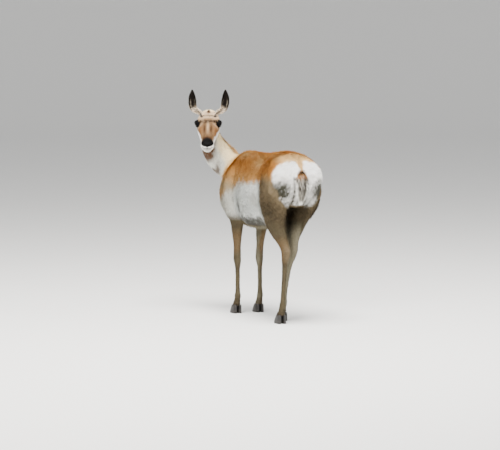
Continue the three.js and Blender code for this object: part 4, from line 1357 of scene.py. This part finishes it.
def make_lashes(side, name, material, colour, longest):
    """Long black lashes along the upper lid, which shade the eye."""
    random = np.random.default_rng(81 + side)
    share = np.linspace(-1, 1, LASHES)
    angle = share * 1.15
    along_way = np.sin(angle) * 0.84
    up_way = np.cos(angle) * 0.6 - np.sin(angle) * 0.17
    out_way = np.sqrt(np.clip(1 - along_way ** 2 - up_way ** 2, 0.05, 1))
    unit = scaled(along_way, HEAD_AXIS) + scaled(up_way, HEAD_UP) + scaled(out_way * side, LATERAL)
    unit /= np.linalg.norm(unit, axis=1, keepdims=True)
    roots = eye_centre(side) + unit * (EYE_RADIUS + 2.2)
    lies = LATERAL * side * 0.8 + scaled(share * 0.45, HEAD_AXIS) - HEAD_UP * 0.5
    lengths = random.uniform(longest - 4, longest, LASHES) * (1 - 0.3 * share ** 2)
    uv = np.stack([share * 0.45 + 0.5, np.full(LASHES, 0.5)], -1)
    posed_tufts("lashes_" + name, roots, unit, lies, lengths, np.full(LASHES, 0.9), np.full(LASHES, 0.12),
                np.tile(colour, (LASHES, 1)), uv, material, 91 + side)


EAR_LINE = np.array([
    (-12, -2, -10), (8, 0, 7), (27, -1, 17), (40, -2, 34), (46, -4, 60), (48, -6, 90), (47, -10, 121),
], float)
# Share of the ear's length, its width, and how far each half rolls round.
EAR_SHAPE = [
    (0, 25, 2.5), (0.22, 29, 2.1), (0.42, 40, 1.55), (0.6, 45, 1.2), (0.78, 37, 1.1), (0.92, 20, 1.0),
    (1, 7, 0.9),
]
EAR_ROWS = 60
EAR_STEPS = 40
EAR_TUFTS = 5200


def spline(points, count):
    """Evenly spaced points on a smooth curve through the given ones, and its directions."""
    ends = np.vstack([2 * points[0] - points[1], points, 2 * points[-1] - points[-2]])
    fine = []
    for k in range(1, len(ends) - 2):
        a, b, c, d = ends[k - 1:k + 3]
        t = np.linspace(0, 1, 24, endpoint=False)[:, None]
        fine.append(0.5 * (2 * b + (c - a) * t + (2 * a - 5 * b + 4 * c - d) * t ** 2
                           + (3 * b - a - 3 * c + d) * t ** 3))
    fine = np.vstack([*fine, points[-1:]])
    reach = np.concatenate([[0], np.cumsum(np.linalg.norm(np.diff(fine, axis=0), axis=1))])
    at = np.linspace(0, reach[-1], count)
    line = np.stack([np.interp(at, reach, fine[:, i]) for i in range(3)], -1)
    ways = np.gradient(line, axis=0)
    return line, ways / np.linalg.norm(ways, axis=1, keepdims=True)


def ear_sheet(side, inset):
    """A grid over the ear's leaf, with the way out of it at each point."""
    along, across, up = EAR_ROOT
    line, ways = spline(EAR_LINE * [side, -1, 1], EAR_ROWS)
    share = np.linspace(0, 1, EAR_ROWS)
    width, roll = row_at(EAR_SHAPE, share).T
    face = np.array([side * 0.3, -1, 0.05])
    face /= np.linalg.norm(face)
    across_way = np.cross(ways, face)
    across_way /= np.linalg.norm(across_way, axis=1, keepdims=True)
    opening = np.cross(across_way, ways)
    radius = width / (2 * np.sin(np.minimum(roll, math.pi / 2)))
    deep = radius - inset * (1 - 0.5 * share ** 3)
    angle = roll[:, None] * np.linspace(-1, 1, EAR_STEPS)[None]
    out = across_way[:, None] * np.sin(angle)[..., None] - opening[:, None] * np.cos(angle)[..., None]
    centre = (line + on_head(along, side * across, up) + opening * (radius * 0.35)[:, None])[:, None]
    return centre + out * deep[:, None, None], out, np.repeat(ways[:, None], EAR_STEPS, 1), share


def make_ears(hide, hair, colours):
    """Each ear as a leaf with a front and a back, and its hair."""
    grid = np.arange(EAR_ROWS * EAR_STEPS).reshape(EAR_ROWS, EAR_STEPS)
    quads = np.stack([grid[:-1, :-1], grid[:-1, 1:], grid[1:, 1:], grid[1:, :-1]], -1).reshape(-1, 4)
    faces = [quads, quads[:, ::-1] + grid.size]
    for edge, turn in ((grid[:, 0], 1), (grid[:, -1], -1), (grid[0], -1), (grid[-1], 1)):
        strip = np.stack([edge[:-1], edge[1:], edge[1:] + grid.size, edge[:-1] + grid.size], -1)
        faces.append(strip[:, ::turn])
    faces = np.vstack(faces)
    for side, name in SIDES.items():
        outer, out, ways, share = ear_sheet(side, 1.2)
        inner = ear_sheet(side, 3.6)[0]
        points = np.vstack([outer.reshape(-1, 3), inner.reshape(-1, 3)])
        mesh = new_mesh("ear_leaf_" + name, to_frame(points), faces[:, ::side])
        shares = np.repeat(share, EAR_STEPS)
        rim = np.abs(np.tile(np.linspace(-1, 1, EAR_STEPS), EAR_ROWS))
        paint(mesh, np.vstack([ear_back_colour(shares, rim, colours), ear_cup_colour(shares, rim, colours)])
              * LEAF_SHADE)
        leaf = place_object("ear_leaf_" + name, mesh, hide)
        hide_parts("ear_" + name)
        piece = ear_hair(side, name, hair, colours, outer, inner, out, ways, share)


def ear_cup_colour(share, rim, colours):
    """Dark inside, cream at the root and black at the rim, with a pale streak."""
    streak = np.exp(-((rim - 0.6) / 0.1) ** 2)
    streak *= smoothstep(share, 0.28, 0.4) * smoothstep(0.72 - share, 0, 0.14)
    out = mixed(colours["ear_cup"], colours["ear_cup_streak"], streak * 0.5)
    out = mixed(out, colours["ear_cup_root"], smoothstep(0.44 - share, 0, 0.12) * 0.85)
    return mixed(out, colours["ear_cup_rim"], smoothstep(rim, 0.82, 0.95) * smoothstep(share, 0.46, 0.58))


def ear_back_colour(share, rim, colours):
    """Cream at the root, tan in the middle, and black towards the tip and the rim."""
    out = mixed(colours["ear_back"], colours["ear_back_root"], smoothstep(0.46 - share, 0, 0.14) * 0.9)
    out = mixed(out, colours["ear_tip"], smoothstep(share, 0.62, 0.9) * 0.9)
    return mixed(out, colours["ear_tip"], smoothstep(rim, 0.78, 0.94) * smoothstep(share, 0.46, 0.58) * 0.9)


def ear_hair(side, name, material, colours, outer, inner, out, ways, share):
    """Short hair over the ear's back, and longer hair from inside it."""
    random = np.random.default_rng(101 + side)
    r = random.integers(4, EAR_ROWS - 1, EAR_TUFTS)
    c = random.integers(0, EAR_STEPS, EAR_TUFTS)
    within = random.uniform(size=EAR_TUFTS) < 0.38
    inside = within[:, None]
    rim = np.abs(np.linspace(-1, 1, EAR_STEPS)[c])
    roots = np.where(inside, inner[r, c], outer[r, c]) + random.normal(0, 0.8, (EAR_TUFTS, 3))
    normals = np.where(inside, -out[r, c], out[r, c])
    shade = np.where(inside, ear_cup_colour(share[r], rim, colours), ear_back_colour(share[r], rim, colours))
    lengths = np.where(within, 9 + 5 * (1 - share[r]), 6.5) * random.uniform(0.75, 1.25, EAR_TUFTS)
    uv = np.stack([np.where(within, 0.5, 0) + c / EAR_STEPS * 0.48, r / EAR_ROWS], -1)
    widths = random.uniform(1.0, 1.7, EAR_TUFTS)
    lifts = random.uniform(0.08, 0.24, EAR_TUFTS)
    return posed_tufts("ear_hair_" + name, roots, normals, ways[r, c], lengths, widths, lifts, shade, uv,
                       material, 111 + side)


HORN_SIDES = 28
HORN_DEPTH = 6


def make_horns(material, height):
    """Horn buds, turned about the way they point, with faint rings."""
    along, across, up = HORN_PLACE
    heights = np.linspace(-HORN_DEPTH, height, 26)
    top = np.clip((heights + HORN_DEPTH) / (height + HORN_DEPTH), 0, 1)
    radii = 7.6 * np.sqrt(np.clip(1 - top ** 2.2, 0, 1)) + 0.18 * np.sin(heights * 2.2)
    radii = np.maximum(radii, 0.05)
    turn = full_turn(HORN_SIDES)
    upright = np.stack([
        np.outer(radii, np.cos(turn)),
        np.outer(radii, np.sin(turn)),
        np.outer(heights, np.ones(HORN_SIDES)),
    ], -1).reshape(-1, 3)
    for side, name in SIDES.items():
        way = Vector(HEAD_UP + LATERAL * side * 0.3 - HEAD_AXIS * 0.25)
        lean = np.array(Vector((0, 0, 1)).rotation_difference(way).to_matrix())
        points = to_frame(upright @ lean.T + on_head(along, side * across, up))
        mesh = new_mesh("horn_bud_" + name, points, ring_quads(len(heights), HORN_SIDES))
        horn = place_object("horn_bud_" + name, mesh, material)
        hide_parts("horn_" + name)


# Height of the hoof, its front, its back, its half width and its squareness.
HOOF = [
    (0, -78, 0, 12.4, 2.2), (2.5, -78, 0.5, 12.5, 2.2), (12, -74, 1, 12.0, 2.2), (30, -62, 0, 11.2, 2.2),
    (42, -52, -2, 10.6, 2.2), (45, -50, -3, 10.0, 2.2),
]
HOOF_HEIGHTS = np.concatenate([[0, 0.8], np.linspace(2.5, 44.2, 30), [45]])
# Each foot's distance back, and out from the middle.
FEET = {"fore": (-183, 64.5), "hind": (373.5, 51.5)}
HOOF_TAPER = 0.42
TOE_SPREAD = 12.6


def hoof_section(back, across, toe):
    """The section function of one toe, which narrows towards its front."""
    def section(row, angle):
        front, heel, half, square = row.T
        ahead = rounded(np.sin(angle), square)
        narrow = 1 - HOOF_TAPER * np.clip(-ahead, 0, 1) ** 1.6
        reach = across + toe * (TOE_SPREAD + half * 0.06)
        return (reach + half * narrow * rounded(np.cos(angle), square),
                back + (front + heel) / 2 + (heel - front) / 2 * ahead)

    return section


def make_hooves(material):
    """Two toes for each foot, flat on the floor."""
    for kind, (back, across) in FEET.items():
        for side, name in SIDES.items():
            for toe, toe_name in ((-1, "inner"), (1, "outer")):
                section = hoof_section(back, across, toe)
                points, faces = tube(HOOF, section, on_leg(kind, side), HOOF_HEIGHTS, 48, 0.0)
                node = f"hoof_{kind}_{name}_{toe_name}"
                mesh = new_mesh(node + "_wall", to_frame(points), faces)
                horn = place_object(node + "_wall", mesh, material)
                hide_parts(node)


TAIL_LINE = TAIL_ROOT + np.array([
    (0, -34, 12), (0, 14, -6), (TAIL_SWAY * 0.3, 37, -0.4 * TAIL_LENGTH), (TAIL_SWAY, 34, -TAIL_LENGTH + 12),
])
# Share of the tail's length, its half depth and its half width.
TAIL_SHAPE = [(0, 7, 11), (0.3, 9, 22), (0.55, 9, 26), (0.8, 6, 20), (1, 1.5, 4)]
TAIL_ROWS = 60
TAIL_SIDES = 32
TAIL_HAIRS = 5200


def make_tail(hide, hair, colours, longest):
    """A flat tail: its flesh, and hair that hangs past it to a point."""
    line, ways = spline(TAIL_LINE, TAIL_ROWS)
    out = np.cross(ways, LATERAL) * -1
    out /= np.linalg.norm(out, axis=1, keepdims=True)
    share = np.linspace(0, 1, TAIL_ROWS)
    deep, half = row_at(TAIL_SHAPE, share).T
    angle = full_turn(TAIL_SIDES)
    points = (line[:, None] + scaled(np.cos(angle), LATERAL)[None] * half[:, None, None]
              + out[:, None] * (np.sin(angle)[None, :, None] * deep[:, None, None]))
    flat = points.reshape(-1, 3)
    mesh = new_mesh("tail_flesh", to_frame(flat), ring_quads(TAIL_ROWS, TAIL_SIDES))
    paint(mesh, tail_colour(np.repeat(share, TAIL_SIDES), flat[:, 0], colours) * LEAF_SHADE)
    flesh = place_object("tail_flesh", mesh, hide)
    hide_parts("tail")
    random = np.random.default_rng(131)
    r = random.integers(8, TAIL_ROWS, TAIL_HAIRS)
    c = random.integers(0, TAIL_SIDES, TAIL_HAIRS)
    roots = points[r, c]
    normals = roots - line[r]
    normals /= np.maximum(np.linalg.norm(normals, axis=1, keepdims=True), 1e-6)
    share = r / TAIL_ROWS
    lies = ways[r] + scaled(np.sign(roots[:, 0] - TAIL_SWAY * share) * 0.16 * (0.7 - share), LATERAL)
    lengths = (longest - 12 * share) * random.uniform(0.7, 1.2, TAIL_HAIRS)
    uv = np.stack([c / TAIL_SIDES, share], -1)
    widths = random.uniform(1.8, 3.2, TAIL_HAIRS)
    lifts = random.uniform(0.05, 0.2, TAIL_HAIRS)
    shade = tail_colour(share, roots[:, 0], colours)
    posed_tufts("tail_hair", roots, normals, lies, lengths, widths, lifts, shade, uv, hair, 133)


def tail_colour(share, x, colours):
    """Rufous above, mottled dark down the middle, with a white fringe and tip."""
    mottle = np.random.default_rng(137).uniform(0, 1, len(x))
    middle = np.abs(x - TAIL_SWAY * share) / row_at(TAIL_SHAPE, share)[:, 1]
    speckle = mixed(colours["tail_dark"], colours["tail_pale"], smoothstep(mottle, 0.35, 1))
    out = mixed(colours["tail"], speckle, smoothstep(share + mottle * 0.12, 0.34, 0.44))
    out = mixed(out, colours["tail_grey"], smoothstep(share, 0.62, 0.74) * 0.7)
    fringe = smoothstep(middle + mottle * 0.2, 0.78, 0.95) * smoothstep(share, 0.36, 0.5)
    out = mixed(out, colours["tail_white"], np.maximum(fringe, smoothstep(share, 0.88, 0.97)))
    # painted shadow across the tail near its root
    band = np.exp(-((share - 0.22) / 0.05) ** 2) * smoothstep(0.9 - middle, 0, 0.3)
    return mixed(out, colours["tail_black"], band)


MANE_HAIRS = 2600
CROWN_HAIRS = 260


def make_mane(material, colours, longest):
    """The short mane that stands along the nape."""
    random = np.random.default_rng(141)
    share = random.uniform(0.3, 0.9, MANE_HAIRS)
    side = random.normal(0, 6.5, MANE_HAIRS)
    high = row_at(NECK, share)[:, 1]
    roots = on_neck(share, side, high - 8 - np.abs(side) * 0.12)
    normals = NECK_DORSAL + scaled(side * 0.02, LATERAL)
    normals /= np.linalg.norm(normals, axis=1, keepdims=True)
    lies = np.tile(NECK_DORSAL * 0.1 - NECK_AXIS, (MANE_HAIRS, 1))
    lengths = random.uniform(longest - 14, longest, MANE_HAIRS) * smoothstep(share, 0.26, 0.42)
    lifts = random.uniform(0.1, 0.26, MANE_HAIRS)
    shade = mixed(colours["side"], colours["russet"], random.uniform(0, 0.8, MANE_HAIRS))
    uv = np.stack([share, side / 60 + 0.5], -1)
    widths = random.uniform(1.8, 3.0, MANE_HAIRS)
    posed_tufts("mane", roots, normals, lies, lengths, widths, lifts, shade, uv, material, 143)


def make_crown_tuft(material, colours):
    """A small dark tuft that stands on the crown between the ears."""
    random = np.random.default_rng(151)
    along = random.normal(38, 5, CROWN_HAIRS)
    across = random.normal(0, 5, CROWN_HAIRS)
    roots = on_head(along, across, np.full(CROWN_HAIRS, 48.5))
    normals = HEAD_UP + scaled(across * 0.03, LATERAL)
    lies = np.tile(HEAD_UP * 0.8 - HEAD_AXIS, (CROWN_HAIRS, 1))
    lengths = random.uniform(9, 17, CROWN_HAIRS) * np.exp(-(across / 9) ** 2)
    shade = mixed(colours["russet"], colours["black"], random.uniform(0, 0.9, CROWN_HAIRS))
    uv = np.stack([across / 60 + 0.5, along / 80], -1)
    widths = random.uniform(1.2, 2.2, CROWN_HAIRS)
    lifts = random.uniform(0.3, 0.5, CROWN_HAIRS)
    posed_tufts("crown_tuft", roots, normals, lies, lengths, widths, lifts, shade, uv, material, 153)


# The stage, in metres

CAMERA_DISTANCE = 15.0
CAMERA_SIDE = math.radians(25.5)  # her heading, to the left of the view
CAMERA_RISE = math.radians(4.0)
PIXELS_PER_METRE = 195.0  # at the tail
TAIL_PIXEL = (301.0, 174.0)
TAIL_HEIGHT = 0.785
TAIL_INSET = 0.012
IMAGE_SIZE = (500.0, 450.0)
SENSOR_MM = 36

FLOOR_CURVE = 9.0
FLOOR_REACH = 26.0
FLOOR_WALL = 14.0
FLOOR_SIDES = 72
CURVE_STEPS = 24

# The photo's daylight is high, a little behind the camera and to its left.
# Name, place, width, power in watts and colour.
LIGHTS = [
    ("top", (0.8, 1.6, 5.6), 3.4, 1080, (1, 0.98, 0.95)),
    ("key", (4.4, 4.6, 4.2), 3.0, 460, (1, 0.97, 0.93)),
    ("fill", (-4.8, 4.0, 2.6), 4.0, 125, (0.95, 0.97, 1)),
]
LIT_HEIGHT = 0.6
SKY_COLOUR = (0.95, 0.97, 1.0, 1)
SKY_STRENGTH = 0.72


def make_camera():
    """The photo's view, which puts the tail where the photo has it."""
    low, high = (Vector(corner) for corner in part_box("torso"))
    anchor = Vector(((low.x + high.x) / 2, high.y - TAIL_INSET, TAIL_HEIGHT))
    ahead = Vector((-math.sin(CAMERA_SIDE), -math.cos(CAMERA_SIDE), 0))
    right = ahead.cross(Vector((0, 0, 1)))
    view = ahead * math.cos(CAMERA_RISE) - Vector((0, 0, 1)) * math.sin(CAMERA_RISE)
    up = right.cross(view)
    data = bpy.data.cameras.new("camera")
    data.sensor_width = SENSOR_MM
    data.lens = SENSOR_MM * PIXELS_PER_METRE * CAMERA_DISTANCE / IMAGE_SIZE[0]
    data.clip_end = 200
    camera = bpy.data.objects.new("camera", data)
    bpy.context.scene.collection.objects.link(camera)
    camera.location = anchor - view * CAMERA_DISTANCE
    aim = anchor - right * ((TAIL_PIXEL[0] - IMAGE_SIZE[0] / 2) / PIXELS_PER_METRE)
    aim += up * ((TAIL_PIXEL[1] - IMAGE_SIZE[1] / 2) / PIXELS_PER_METRE)
    camera.rotation_euler = (aim - camera.location).to_track_quat("-Z", "Y").to_euler()
    bpy.context.scene.camera = camera


def make_floor(colour):
    """A floor that curves up all round into a wall, far enough away to stay plain."""
    flat = FLOOR_REACH - FLOOR_CURVE
    profile = [(flat, 0.0)]
    for i in range(1, CURVE_STEPS + 1):
        a = math.pi / 2 * i / CURVE_STEPS
        profile.append((flat + FLOOR_CURVE * math.sin(a), FLOOR_CURVE - FLOOR_CURVE * math.cos(a)))
    profile.append((FLOOR_REACH, FLOOR_WALL))
    points = [(0, 0, 0)]
    for out, up in profile:
        points += [(out * math.cos(a), out * math.sin(a), up) for a in full_turn(FLOOR_SIDES)]
    faces = [(0, 1 + i, 1 + (i + 1) % FLOOR_SIDES) for i in range(FLOOR_SIDES)]
    faces += [tuple(1 + quad) for quad in ring_quads(len(profile), FLOOR_SIDES)[:, [0, 3, 2, 1]]]
    mesh = bpy.data.meshes.new("studio_floor")
    mesh.from_pydata(points, [], faces)
    mesh.polygons.foreach_set("use_smooth", np.ones(len(mesh.polygons), bool))
    mesh.materials.append(floor_material(colour))
    floor = bpy.data.objects.new("studio_floor", mesh)
    bpy.context.scene.collection.objects.link(floor)


def make_lights():
    """Three soft round lights and a faint sky."""
    for name, place, size, power, colour in LIGHTS:
        data = bpy.data.lights.new(name, "AREA")
        data.shape = "DISK"
        data.size = size
        data.energy = power
        data.color = colour
        light = bpy.data.objects.new(name, data)
        light.location = place
        way = Vector((0, 0, LIT_HEIGHT)) - Vector(place)
        light.rotation_euler = way.to_track_quat("-Z", "Y").to_euler()
        bpy.context.scene.collection.objects.link(light)
    world = bpy.data.worlds.new("studio")
    world.use_nodes = True
    background = world.node_tree.nodes["Background"]
    background.inputs["Color"].default_value = SKY_COLOUR
    background.inputs["Strength"].default_value = SKY_STRENGTH
    bpy.context.scene.world = world


# Settings, operators and the panel

def label_of(name):
    """A setting's name as people read it."""
    return name.replace("_", " ").capitalize()


class PronghornLengths(bpy.types.PropertyGroup):
    """The sizes of the skin's faces, the hair and the horn buds, and how dense the coat is."""
    __annotations__ = {
        name: FloatProperty(name=label_of(name), description=what, default=value / 1000,
                            min=0.001, max=0.1, precision=4, unit="LENGTH")
        for name, (what, value) in LENGTHS.items()
    }
    __annotations__["density"] = FloatProperty(
        name="Coat density", description="Share of the full number of tufts",
        default=1.0, min=0.05, max=1.2, subtype="FACTOR")


class PronghornColours(bpy.types.PropertyGroup):
    """The colours of the coat, the eyes, the horn and the floor."""
    __annotations__ = {
        name: FloatVectorProperty(name=label_of(name), description=what, default=linear(value),
                                  min=0, max=1, size=3, subtype="COLOR")
        for name, (what, value) in COLOURS.items()
    }


def hair():
    """The coat's material, made on its first use."""
    return bpy.data.materials.get("Pronghorn hair") or hair_material()


def hide():
    """The skin's material, made on its first use."""
    return bpy.data.materials.get("Pronghorn hide") or hide_material()


class PRONGHORN_OT_stage(bpy.types.Operator):
    """Make the floor, the lights and the camera"""
    bl_idname = "pronghorn.stage"
    bl_label = "Stage"

    def execute(self, context):
        make_floor(chosen_colours()["floor"])
        make_lights()
        make_camera()
        return {"FINISHED"}


class PRONGHORN_OT_skin(bpy.types.Operator):
    """Make the skin of the body, neck, head and legs"""
    bl_idname = "pronghorn.skin"
    bl_label = "Skin"

    def execute(self, context):
        make_skin(hide(), chosen_lengths()["skin_detail"])
        return {"FINISHED"}


class PRONGHORN_OT_eyes(bpy.types.Operator):
    """Make the eyeballs and their lashes"""
    bl_idname = "pronghorn.eyes"
    bl_label = "Eyes"

    def execute(self, context):
        colours = chosen_colours()
        make_eyes(eye_material(colours), hair(), colours, chosen_lengths()["lash"])
        return {"FINISHED"}


class PRONGHORN_OT_ears(bpy.types.Operator):
    """Make the ears and their hair"""
    bl_idname = "pronghorn.ears"
    bl_label = "Ears"

    def execute(self, context):
        make_ears(hide(), hair(), chosen_colours())
        return {"FINISHED"}


class PRONGHORN_OT_horns(bpy.types.Operator):
    """Make the horn buds"""
    bl_idname = "pronghorn.horns"
    bl_label = "Horn buds"

    def execute(self, context):
        colours = chosen_colours()
        keratin = horn_material("Horn bud keratin", colours["horn_dark"], colours["horn_pale"], 2.6, 0.55)
        make_horns(keratin, chosen_lengths()["horn_bud"])
        return {"FINISHED"}


class PRONGHORN_OT_hooves(bpy.types.Operator):
    """Make the eight toes of the hooves"""
    bl_idname = "pronghorn.hooves"
    bl_label = "Hooves"

    def execute(self, context):
        colours = chosen_colours()
        make_hooves(horn_material("Hoof keratin", colours["hoof_dark"], colours["hoof_pale"], 4.5, 0.5))
        return {"FINISHED"}


class PRONGHORN_OT_tail(bpy.types.Operator):
    """Make the tail and its hair"""
    bl_idname = "pronghorn.tail"
    bl_label = "Tail"

    def execute(self, context):
        make_tail(hide(), hair(), chosen_colours(), chosen_lengths()["tail_hair"])
        return {"FINISHED"}


class PRONGHORN_OT_coat(bpy.types.Operator):
    """Grow the coat, the mane and the crown's tuft"""
    bl_idname = "pronghorn.coat"
    bl_label = "Coat"

    def execute(self, context):
        colours, lengths = chosen_colours(), chosen_lengths()
        make_coat(hair(), lengths, context.scene.pronghorn_lengths.density)
        make_mane(hair(), colours, lengths["mane_hair"])
        make_crown_tuft(hair(), colours)
        return {"FINISHED"}


class PRONGHORN_PT_panel(bpy.types.Panel):
    """Every setting and operator of the pronghorn"""
    bl_idname = "PRONGHORN_PT_panel"
    bl_label = "Pronghorn"
    bl_space_type = "VIEW_3D"
    bl_region_type = "UI"
    bl_category = "Pronghorn"

    def draw(self, context):
        for operator in OPERATORS:
            self.layout.operator(operator.bl_idname)
        for settings in (context.scene.pronghorn_lengths, context.scene.pronghorn_colours):
            for name in type(settings).__annotations__:
                self.layout.prop(settings, name)


OPERATORS = (PRONGHORN_OT_stage, PRONGHORN_OT_skin, PRONGHORN_OT_eyes, PRONGHORN_OT_ears,
             PRONGHORN_OT_horns, PRONGHORN_OT_hooves, PRONGHORN_OT_tail, PRONGHORN_OT_coat)
CLASSES = (PronghornLengths, PronghornColours, *OPERATORS, PRONGHORN_PT_panel)


def register():
    for cls in CLASSES:
        bpy.utils.register_class(cls)
    bpy.types.Scene.pronghorn_lengths = PointerProperty(type=PronghornLengths)
    bpy.types.Scene.pronghorn_colours = PointerProperty(type=PronghornColours)


def unregister():
    del bpy.types.Scene.pronghorn_lengths
    del bpy.types.Scene.pronghorn_colours
    for cls in reversed(CLASSES):
        bpy.utils.unregister_class(cls)


def main():
    register()
    bpy.ops.pronghorn.stage()
    bpy.ops.pronghorn.skin()
    bpy.ops.pronghorn.eyes()
    bpy.ops.pronghorn.ears()
    bpy.ops.pronghorn.horns()
    bpy.ops.pronghorn.hooves()
    bpy.ops.pronghorn.tail()
    bpy.ops.pronghorn.coat()


if __name__ == "__main__":
    main()
